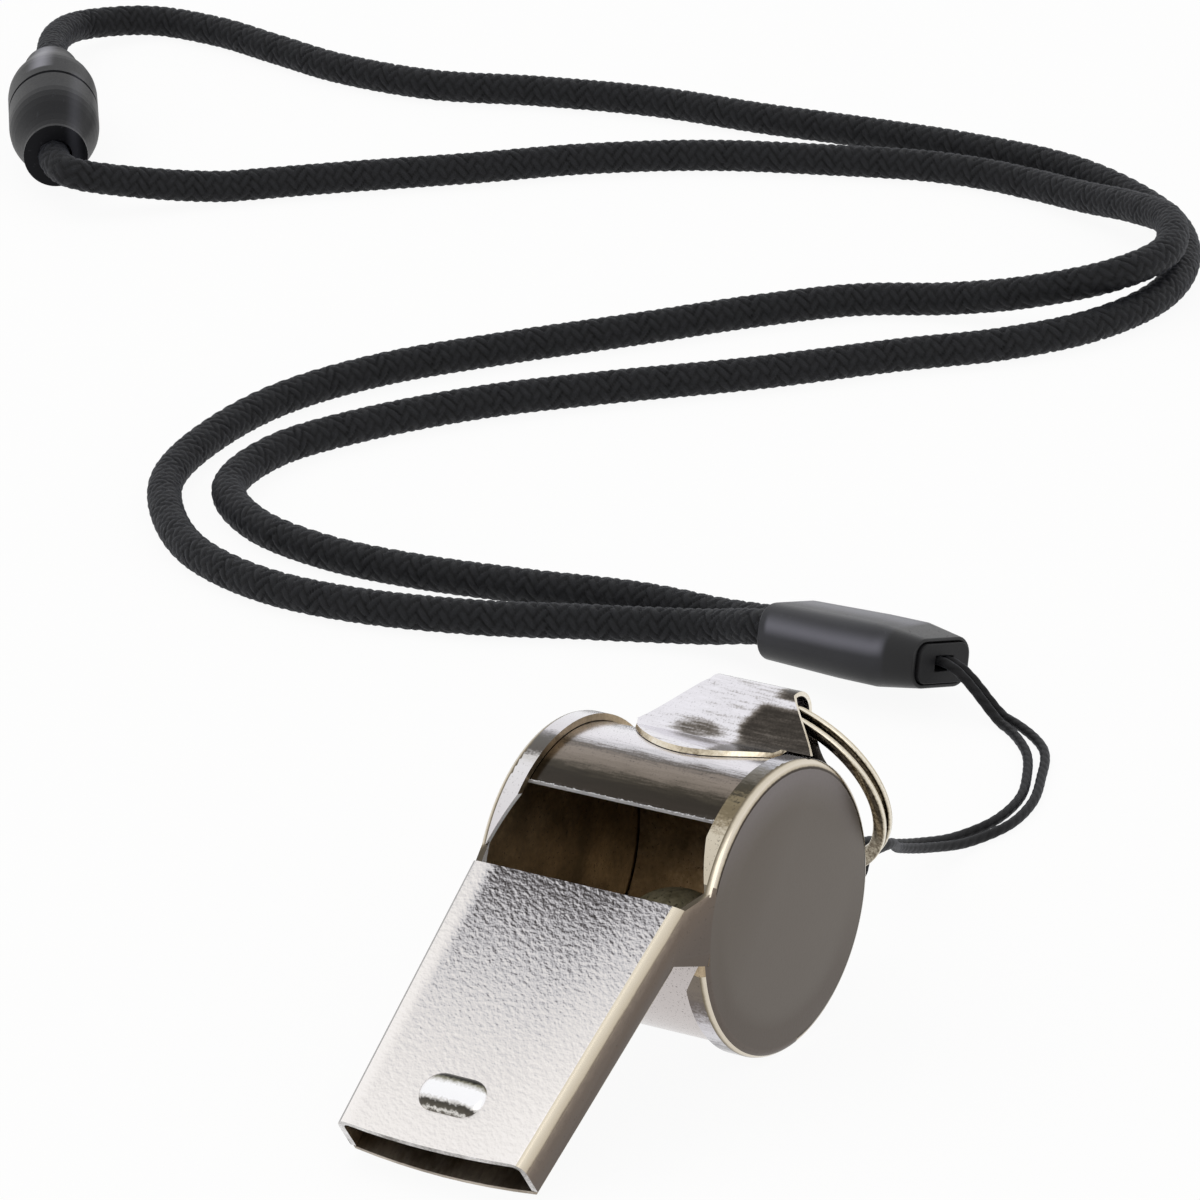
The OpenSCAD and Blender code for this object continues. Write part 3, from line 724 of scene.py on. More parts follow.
@dataclass
class WoundBand:
    """A flat band with rounded edges, wound round an axis in part of a turn or in several.

    Its angles are in degrees. Where it winds more than once, it steps sideways from one turn to the next.
    """

    name: str
    radius: float
    start: float
    end: float
    thick: float
    wide: float
    corner: float
    steps: int
    turn: tuple
    centre: tuple
    material: bpy.types.Material
    off_axis: float = 0.0
    turn_step: float = 0.0
    step_start: float = 0.0
    step_end: float = 1.0

    def make(self) -> bpy.types.Object:
        """Sweeps the band's section along its winding by a node tree.

        Returns:
            The piece, with its place across the section as attributes.
        """
        g = NodeTool(self.name, {
            "Radius": ("Float", self.radius), "Start": ("Float", math.radians(self.start)),
            "End": ("Float", math.radians(self.end)), "Thickness": ("Float", self.thick),
            "Width": ("Float", self.wide), "Corner": ("Float", self.corner), "Steps": ("Int", self.steps),
            "Off Axis": ("Float", self.off_axis), "Turn Step": ("Float", self.turn_step),
            "Turn": ("Vector", self.turn), "Centre": ("Vector", self.centre),
            "Material": ("Material", self.material)})
        line = g.node("GeometryNodeCurvePrimitiveLine").outputs[0]
        line = g.node("GeometryNodeResampleCurve", {}, {"Curve": line, "Count": g.given["Steps"]}).outputs[0]
        share = g.num("GeometryNodeSplineParameter", {}, {}, "Factor")
        angle = g.number("Start") + (g.number("End") - g.number("Start")) * share
        level = (0.5 - angle.above(math.radians((self.step_start + self.step_end) / 2),
                                   math.radians(self.step_end - self.step_start))) * g.number("Turn Step")
        spot = g.node("ShaderNodeCombineXYZ", {}, {
            0: angle.cosine() * g.number("Radius") + g.number("Off Axis"),
            1: angle.sine() * g.number("Radius"), 2: level}).outputs[0]
        line = g.node("GeometryNodeSetPosition", {}, {"Geometry": line, "Position": spot}).outputs[0]
        line = g.node("GeometryNodeSetCurveNormal", {"mode": "Z_UP"}, {"Curve": line}).outputs[0]
        section = g.node("GeometryNodeCurvePrimitiveQuadrilateral", {},
                         {"Width": g.given["Thickness"], "Height": g.given["Width"]}).outputs[0]
        section = g.node("GeometryNodeFilletCurve", {"mode": "POLY"},
                         {"Curve": section, "Count": 3, "Radius": g.given["Corner"]}).outputs[0]
        here = g.node("ShaderNodeSeparateXYZ", {}, {0: g.node("GeometryNodeInputPosition").outputs[0]})
        for name, k in (("edge", 0), ("lay", 1)):
            section = g.node("GeometryNodeStoreNamedAttribute", {"data_type": "FLOAT", "domain": "POINT"},
                             {"Geometry": section, "Name": name, "Value": here.outputs[k]}).outputs[0]
        band = g.node("GeometryNodeCurveToMesh", {},
                      {"Curve": line, "Profile Curve": section, "Fill Caps": True}).outputs[0]
        return g.piece(g.node("GeometryNodeTransform", {}, {
            "Geometry": band, "Translation": g.given["Centre"], "Rotation": g.given["Turn"]}).outputs[0])


@dataclass
class BurrLine:
    """A ragged line of tiny burrs left along a cut edge."""

    name: str
    start: tuple
    end: tuple
    count: int
    size: float
    stray: float
    seed: int
    material: bpy.types.Material

    def make(self) -> bpy.types.Object:
        """Sets the burrs along the line by a node tree.

        Returns:
            The piece.
        """
        g = NodeTool(self.name, {
            "Start": ("Vector", self.start), "End": ("Vector", self.end), "Count": ("Int", self.count),
            "Size": ("Float", self.size), "Stray": ("Float", self.stray), "Seed": ("Int", self.seed),
            "Material": ("Material", self.material)})
        line = g.node("GeometryNodeCurvePrimitiveLine", {}, {"Start": g.given["Start"], "End": g.given["End"]})
        line = g.node("GeometryNodeResampleCurve", {}, {"Curve": line.outputs[0], "Count": g.given["Count"]})
        spots = g.node("GeometryNodeCurveToPoints", {}, {"Curve": line.outputs[0], "Count": g.given["Count"]})
        drift = g.node("FunctionNodeRandomValue", {"data_type": "FLOAT_VECTOR"},
                       {0: (-1, -1, -1), 1: (1, 1, 1), 8: g.given["Seed"]}).outputs[0]
        drift = g.node("ShaderNodeVectorMath", {"operation": "SCALE"}, {0: drift, 3: g.given["Stray"]}).outputs[0]
        spots = g.node("GeometryNodeSetPosition", {}, {"Geometry": spots.outputs[0], "Offset": drift}).outputs[0]
        bead = g.node("GeometryNodeMeshIcoSphere", {}, {"Radius": g.given["Size"], "Subdivisions": 1}).outputs[0]
        scale = g.node("FunctionNodeRandomValue", {"data_type": "FLOAT_VECTOR"},
                       {0: (0.5, 0.8, 0.5), 1: (1.1, 2.6, 1.1), 8: g.given["Seed"]}).outputs[0]
        return g.piece(g.node("GeometryNodeInstanceOnPoints", {}, {
            "Points": spots, "Instance": bead, "Scale": scale}).outputs[0])


@dataclass(frozen=True)
class Lamp:
    """A soft square lamp aimed at the whistle, with its direction, distance, side, watts and colour."""

    name: str
    way: tuple
    away: float
    size: float
    watts: float
    tint: tuple
    mirrored: bool
    aim: tuple = (-0.05, -0.05, 0)

    def make(self) -> None:
        """Sets the lamp up; polished surfaces show it only where it's mirrored."""
        data = bpy.data.lights.new(self.name, "AREA")
        data.shape = "SQUARE"
        data.size = self.size
        data.energy = self.watts
        data.color = self.tint
        made = bpy.data.objects.new(self.name, data)
        way = Vector(self.way)
        made.rotation_euler = way.to_track_quat("Z", "Y").to_euler()
        made.location = way.normalized() * self.away + Vector(self.aim)
        made.visible_glossy = self.mirrored
        bpy.context.scene.collection.objects.link(made)


@dataclass
class Studio:
    """The camera at the photograph's angle, the floor, the lamps and the world."""

    azimuth: float = 0.6020236
    elevation: float = 0.3802679
    roll: float = -0.0412454
    distance: float = 0.6999771
    target: tuple = (-0.0747616, -0.0514616, 0.0)
    focal_px: float = 8532.306
    frame_px: float = 1200.0
    sensor: float = 36.0
    reach: float = 4.0
    drop: float = 0.05 * MM
    paper: float = 0.93
    paper_tones: tuple = ((0.93,) * 3, (0.96,) * 3)
    paper_grain: float = 2 * MM
    sky: tuple = (1.0, 0.99, 0.975, 1.0)
    sky_power: float = 0.6
    white: tuple = (1.0,) * 4
    clip: tuple = (0.01, 50)
    lamps: tuple = (Lamp("overhead", (0.05, -0.5, 0.86), 1.3, 1.2, 4.4, (1.0, 0.99, 0.97), False),
                    Lamp("side", (0.5, 0.8, 0.55), 1.4, 0.9, 2.2, (1.0, 0.97, 0.93), True))

    def camera(self) -> None:
        """Makes the scene's camera."""
        to_cam = Vector((math.cos(self.elevation) * math.cos(self.azimuth),
                         math.cos(self.elevation) * math.sin(self.azimuth), math.sin(self.elevation)))
        level = (-to_cam).cross(Vector((0, 0, 1))).normalized()
        rise = level.cross(-to_cam)
        c, s = math.cos(self.roll), math.sin(self.roll)
        right, up = c * level + s * rise, -s * level + c * rise
        data = bpy.data.cameras.new("camera")
        data.sensor_width = self.sensor
        data.sensor_fit = "HORIZONTAL"
        data.lens = self.sensor * self.focal_px / self.frame_px
        data.clip_start, data.clip_end = self.clip
        made = bpy.data.objects.new("camera", data)
        turn = Matrix((right, up, to_cam)).transposed().to_4x4()
        made.matrix_world = Matrix.Translation(Vector(self.target) + to_cam * self.distance) @ turn
        bpy.context.scene.collection.objects.link(made)
        bpy.context.scene.camera = made

    def seen(self, g: Graph) -> Num:
        """Marks what the camera sees, straight or by way of metal or glass.

        Args:
            g: the tree to add to.

        Returns:
            1 for such a ray, and 0 for the light that falls on the object.
        """
        path = g.node("ShaderNodeLightPath").outputs
        mark = g.num("ShaderNodeMath", {"operation": "MAXIMUM"}, {0: path["Is Camera Ray"], 1: path["Is Glossy Ray"]})
        return g.num("ShaderNodeMath", {"operation": "MAXIMUM"}, {0: mark, 1: path["Is Transmission Ray"]})

    def floor(self) -> bpy.types.Object:
        """Makes the white paper floor, which keeps a trace of the object's shadow."""
        s = Shade("floor_paper")
        grain = s.noise(s.mapped(), self.paper_grain, 2)
        paper = s.node("ShaderNodeBsdfDiffuse", {}, {0: s.mix(grain, *self.paper_tones)})
        white = s.node("ShaderNodeEmission", {}, {0: self.white, 1: 1.0})
        both = s.node("ShaderNodeMixShader", {}, {0: self.seen(s) * self.paper, 1: paper.outputs[0],
                                                  2: white.outputs[0]})
        s.node("ShaderNodeOutputMaterial", {}, {0: both.outputs[0]})
        r, low = self.reach, -self.drop
        made = mesh_object("floor", [(-r, -r, low), (r, -r, low), (r, r, low), (-r, r, low)], [(0, 1, 2, 3)],
                           [s.material])
        return made

    def world(self) -> None:
        """Makes the pale world: white where the camera and the metal see it, plainer as light."""
        made = bpy.data.worlds.new("studio")
        made.use_nodes = True
        bpy.context.scene.world = made
        g = Graph(made.node_tree)
        g.tree.nodes.clear()
        plain = g.node("ShaderNodeBackground", {}, {0: self.sky, 1: self.sky_power})
        white = g.node("ShaderNodeBackground", {}, {0: self.white, 1: 1.0})
        both = g.node("ShaderNodeMixShader", {}, {0: self.seen(g), 1: plain.outputs[0], 2: white.outputs[0]})
        g.node("ShaderNodeOutputWorld", {}, {0: both.outputs[0]})

    def build(self) -> None:
        """Makes the floor, the world and the lamps, and sets the view."""
        self.floor()
        self.world()
        for lamp in self.lamps:
            lamp.make()
        bpy.context.scene.view_settings.view_transform = "Standard"


@dataclass
class Run:
    """A cord's centre line through chosen points, smooth and evenly spaced."""

    points: tuple
    diameter: float
    step: float
    samples: int = 40
    clear: float = 0.01 * MM
    end_ridge: float = 0.3

    def line(self) -> np.ndarray:
        """Interpolates the points with a centripetal spline, never lower than the ground.

        Returns:
            The centre line's points in metres.
        """
        p = np.array(self.points) * MM
        p = np.vstack([2 * p[0] - p[1], p, 2 * p[-1] - p[-2]])
        out = []
        for i in range(1, len(p) - 2):
            q = p[i - 1:i + 3]
            t = np.cumsum([0.0] + [np.linalg.norm(q[k + 1] - q[k]) ** 0.5 for k in range(3)])
            x = np.linspace(t[1], t[2], self.samples, endpoint=False)[:, None]
            a = [(t[k + 1] - x) / (t[k + 1] - t[k]) * q[k] + (x - t[k]) / (t[k + 1] - t[k]) * q[k + 1]
                 for k in range(3)]
            b = [(t[k + 2] - x) / (t[k + 2] - t[k]) * a[k] + (x - t[k]) / (t[k + 2] - t[k]) * a[k + 1]
                 for k in range(2)]
            out.append((t[2] - x) / (t[2] - t[1]) * b[0] + (x - t[1]) / (t[2] - t[1]) * b[1])
        dense = np.vstack(out + [p[-2:-1]])
        dense[:, 2] = np.maximum(dense[:, 2], self.diameter / 2)
        far = np.concatenate([[0], np.cumsum(np.linalg.norm(np.diff(dense, axis=0), axis=1))])
        even = np.linspace(0, far[-1], int(far[-1] / self.step) + 1)
        return np.stack([np.interp(even, far, dense[:, k]) for k in range(3)], axis=1)

    def frames(self, line: np.ndarray) -> tuple:
        """Sides and ups along the line, carried on without twist.

        Args:
            line: the centre line.

        Returns:
            Two arrays of unit vectors.
        """
        t = np.gradient(line, axis=0)
        t /= np.linalg.norm(t, axis=1)[:, None]
        side = np.zeros_like(line)
        s = np.cross(t[0], (0.0, 0.0, 1.0))
        for k in range(len(line)):
            s = s - t[k] * (s @ t[k])
            s = s / np.linalg.norm(s)
            side[k] = s
        return side, np.cross(t, side)

    def tube(self, name: str, sides: int, shape: object, mat: bpy.types.Material) -> bpy.types.Object:
        """Sweeps a relief along the line.

        Args:
            name: the piece's name.
            sides: the points round it.
            shape: a function of length and angle arrays that gives height from 0 to 1 and a map.
            mat: its material.

        Returns:
            The piece, with its ridge attribute and its map along the strands.
        """
        line = self.line()
        side, up = self.frames(line)
        n, m = len(line), sides
        length = np.arange(n)[:, None] * self.step
        angle = np.arange(m)[None, :] * (2 * math.pi / m)
        ridge, depth, lay = shape(length, angle)
        radius = self.diameter / 2 - depth * (1 - ridge)
        ring = line[:, None] + radius[..., None] * (np.cos(angle)[..., None] * side[:, None]
                                                    + np.sin(angle)[..., None] * up[:, None])
        ring[..., 2] = np.maximum(ring[..., 2], self.clear)
        points = np.vstack([ring.reshape(-1, 3), line[:1], line[-1:]])
        i = np.arange((n - 1) * m)
        right = i - i % m + (i % m + 1) % m
        faces = np.stack([i, i + m, right + m, right], axis=1).tolist()
        base = (n - 1) * m
        faces += [(n * m, k, (k + 1) % m) for k in range(m)]
        faces += [(n * m + 1, base + (k + 1) % m, base + k) for k in range(m)]
        made = mesh_object(name, points, faces, [mat])
        mesh = made.data
        mesh.shade_smooth()
        values = np.concatenate([np.broadcast_to(ridge, (n, m)).ravel(), [self.end_ridge] * 2])
        mesh.attributes.new("ridge", "FLOAT", "POINT").data.foreach_set("value", values.astype(np.float32))
        uv = mesh.uv_layers.new(name="strand")
        flat = np.vstack([np.stack([np.broadcast_to(v, (n, m)).ravel() for v in lay], axis=1), np.zeros((2, 2))])
        corner = np.zeros(len(mesh.loops), np.int32)
        mesh.loops.foreach_get("vertex_index", corner)
        uv.data.foreach_set("uv", flat[corner].astype(np.float32).ravel())
        return made


def braid(length: np.ndarray, angle: np.ndarray) -> tuple:
    """Relief of a round braid, two strands over and two under.

    Args:
        length: distances along the cord.
        angle: angles round it.

    Returns:
        Its height from 0 to 1, its depth in metres and the map along its strands.
    """
    carriers, pitch, depth = 8, 0.88 * MM, 0.2 * MM
    along_map, across_map = 9.0, 1.2
    low, gain = 0.55, 0.45
    turn = angle * carriers / (2 * math.pi)
    a, b = length / pitch + turn, length / pitch - turn
    lane_a, lane_b = np.floor(a), np.floor(b)
    top = np.mod(lane_a + lane_b, 4) < 2
    float_a = (np.mod(b + lane_a, 4)) / 2
    float_b = (np.mod(a + lane_b + 2, 4)) / 2
    across = np.where(top, a - lane_a, b - lane_b)
    on = np.clip(np.where(top, float_a, float_b), 0, 1)
    ridge = np.sin(math.pi * across) ** 0.6 * (low + gain * np.sin(math.pi * on) ** 0.7)
    return ridge, depth, (np.where(top, a, b) * along_map, np.where(top, b, a) * across_map)


def twist(length: np.ndarray, angle: np.ndarray) -> tuple:
    """Relief of a thin twisted strap.

    Args:
        length: distances along the strap.
        angle: angles round it.

    Returns:
        Its height from 0 to 1, its depth in metres and the map along its strands.
    """
    strands, pitch, depth, map_step = 3, 1.1 * MM, 0.05 * MM, 0.9 * MM
    phase = length / pitch + angle * strands / (2 * math.pi)
    ridge = np.abs(np.sin(math.pi * phase)) ** 0.6
    return ridge, depth, (phase * 6.0, length / map_step + 0 * angle)


@dataclass
class NeckCord:
    """The braided neck cord, its clamp, its clasp and the thin strap to the ring."""

    outer: tuple = ((-71.25, -26.21, 2.9), (-71.88, -31.42, 2.62), (-73.3, -38.5, 1.6), (-73.3, -46.5, 1.5),
        (-71.3, -56.5, 1.5), (-69.8, -66.5, 1.5), (-69.8, -75.5, 1.5), (-72.3, -84.5, 1.5),
        (-78.3, -91.5, 1.5), (-87.3, -93, 1.5), (-95.8, -90, 1.5), (-105.3, -84, 1.5), (-113.3, -76.5, 1.5),
        (-122.3, -67, 1.5), (-132.3, -58, 1.5), (-138.8, -51.5, 1.5), (-146.3, -47, 1.5), (-154.8, -45.5, 1.5),
        (-163.3, -47.5, 1.5), (-171.8, -53, 1.5), (-177.8, -61, 1.5), (-181.8, -70.5, 1.5),
        (-182.8, -81.5, 1.5), (-182.3, -92.5, 1.5), (-181.3, -103.5, 1.5), (-180.8, -115.5, 1.5),
        (-178.3, -127.5, 1.5), (-175.3, -137.5, 1.5), (-175.3, -148.5, 1.5), (-177.3, -157.5, 1.5),
        (-179.3, -166.5, 1.5), (-178.8, -174, 1.6), (-172.8, -177.5, 2.4), (-165.8, -175.5, 3.5),
        (-156.08, -168.91, 4.25), (-150.76, -164.75, 4.25))
    inner: tuple = ((-68.1, -26.65, 3.81), (-68.74, -31.85, 3.53), (-69.8, -38, 2), (-67.6, -46.5, 1.5),
        (-63.8, -56, 1.5), (-61.3, -66.5, 1.5), (-61.3, -75.5, 1.5), (-64.3, -84.5, 1.5), (-70.3, -92, 1.5),
        (-77.8, -97.5, 1.5), (-87.3, -100, 1.5), (-97.8, -100, 1.5), (-107.8, -96.5, 1.5), (-117.3, -90, 1.5),
        (-127.3, -82, 1.5), (-136.3, -75, 1.5), (-142.8, -68.5, 1.5), (-145.8, -61.5, 1.8), (-147.3, -54, 3.2),
        (-150.8, -47.5, 4.7), (-157.8, -46.1, 4.9), (-165.1, -49.8, 4.9), (-170.3, -56.5, 3.6),
        (-174.1, -64, 2.2), (-176.8, -72.5, 1.5), (-176.8, -81.5, 1.5), (-173.8, -92, 1.5),
        (-169.8, -102.5, 1.5), (-163.8, -112, 1.5), (-156.3, -120.5, 1.5), (-149.3, -129, 1.5),
        (-141.8, -137.5, 1.5), (-136.3, -143.5, 2.6), (-132.3, -148.5, 4), (-133.57, -151.33, 4.25),
        (-138.89, -155.48, 4.25))
    strap: tuple = ((-68.22, -18.57, 3.91), (-67.58, -13.31, 4.19), (-67.3, -8.9, 0.6), (-63.5, -4.1, 0.4),
        (-58.8, -1.1, 0.4), (-54.8, 0.6, 0.4), (-50.3, 1.1, 0.4), (-45.8, 0.3, 0.6), (-40.8, 0.1, 2),
        (-34.5, 1.3, 4.6), (-27.8, 4.3, 8), (-23.45, 4.65, 9.37), (-22.59, 4.58, 9.56), (-21.73, 4.7, 9.28),
        (-21.18, 5.02, 8.66), (-21.16, 5.45, 7.95), (-21.67, 5.89, 7.46), (-22.49, 6.21, 7.39),
        (-23.31, 6.33, 7.79), (-23.8, 6.26, 8.53), (-27.9, 5.7, 8), (-34.3, 2.6, 4.6), (-40.5, 1.4, 2),
        (-45.5, 1.7, 0.6), (-50.3, 2.5, 0.4), (-54.5, 1.9, 0.4), (-58.9, 0.1, 0.4), (-64.5, -3.1, 0.4),
        (-68.5, -9.3, 0.6), (-68.53, -13.18, 3.91), (-69.18, -18.44, 3.63))
    cord_d: float = 3.0 * MM
    strap_d: float = 0.8 * MM
    cord_step: float = 0.17 * MM
    strap_step: float = 0.12 * MM
    cord_sides: int = 40
    strap_sides: int = 18

    def cords(self) -> None:
        yarn = TwistedYarn("braid_yarn", (0.011, 0.0115, 0.0135), 0.05 * MM).material()
        thin = TwistedYarn("strap_yarn", (0.008, 0.008, 0.009), 0.02 * MM).material()
        plan = (("cord_outer", self.outer, "clasp_plug", True), ("cord_inner", self.inner, "clasp_socket", False))
        for node, points, end, follows in plan:
            run = Run(points, self.cord_d, self.cord_step)
            made = run.tube(node + "_braid", self.cord_sides, braid, yarn)
            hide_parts(node)
            line = run.line()
            if follows:
                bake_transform(made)
            else:
                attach(made, "whistle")
            LOG.info("%s: %.0f mm", made.name, len(line) * run.step / MM)
        run = Run(self.strap, self.strap_d, self.strap_step)
        made = run.tube("strap_loop_twist", self.strap_sides, twist, thin)
        line = run.line()
        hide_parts("strap_loop")
        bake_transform(made)
        LOG.info("%s: %.0f mm", made.name, len(line) * run.step / MM)

    def fittings(self) -> None:
        """Dresses the clamp and the clasp, with painted highlight and painted shade bands on their plastic."""
        level, length = (0.0, -0.067, 1.0), (0.0, 1.0, 0.0)
        clamp = MouldedPlastic("clamp_plastic", (0.018, 0.0185, 0.023), roughness=0.36, gloss=0.34,
                               size=0.16 * MM, relief=0.01 * MM, painted_bands=(
            # Painted shade on the clamp's front face, below its highlight.
            Sheen(level, -7.2, 3.2, length, -40.0, 0.0, (0.004, 0.004, 0.005), 0.85),
            # Painted highlight along the clamp's front face.
            Sheen(level, -4.0, 0.95, length, -29.0, -17.2, shown(112, 112, 122), 0.8),
            # Painted shade on the clamp's nose.
            Sheen(level, -5.0, 9.0, length, -17.0, 0.0, (0.005, 0.005, 0.0055), 0.9))).material()
        insert = MouldedPlastic("insert_plastic", (0.008, 0.008, 0.009), roughness=0.5, gloss=0.2,
                                size=0.2 * MM, relief=0.01 * MM).material()
        aside, away = (0.57, -0.82, 0.0), (-0.82, -0.57, 0.0)
        clasp = MouldedPlastic("clasp_plastic", (0.005, 0.0052, 0.0066), roughness=0.4, gloss=0.1,
                               size=0.22 * MM, relief=0.008 * MM, painted_bands=(
            # Painted highlight on the top of the clasp's plug.
            Sheen(aside, 54.2, 1.5, away, 204.4, 215.0, shown(150, 150, 160), 0.75),
            # Faint painted highlight along the clasp's socket.
            Sheen(aside, 50.6, 0.9, away, 185.0, 204.0, shown(66, 67, 74), 0.6))).material()
        for node, mat, edge, slot in (("clamp_shell", clamp, 0.14 * MM, "clamp_plastic"),
                                      ("clamp_insert", insert, 0.1 * MM, "insert_plastic")):
            made = welded_copy(node, node + "_moulding", CREASE, edge)
            made.data.materials.append(mat)
            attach(made, "whistle")
            LOG.info("%s: %d faces", made.name, len(made.data.polygons))
        for node in ("clasp_socket", "clasp_plug"):
            dress_cad(node, clasp)
            LOG.info("%s: dressed", node)


class Zone(IntEnum):
    """The zones of the shell's sheet, each with its own finish; the cut edges are painted lit and shaded copies."""

    PLATE = 0
    RIGHT_BEND = 1
    WALL = 2
    DISC = 3
    RIGHT_RIM = 4
    LEFT_RIM = 5
    RIM_EDGE = 6
    PAINTED_LIT_CUT = 7
    PAINTED_SHADED_CUT = 8
    INSIDE = 9
    BOSS = 10
    MOUTH_EDGE = 11
    LEFT_BEND = 12


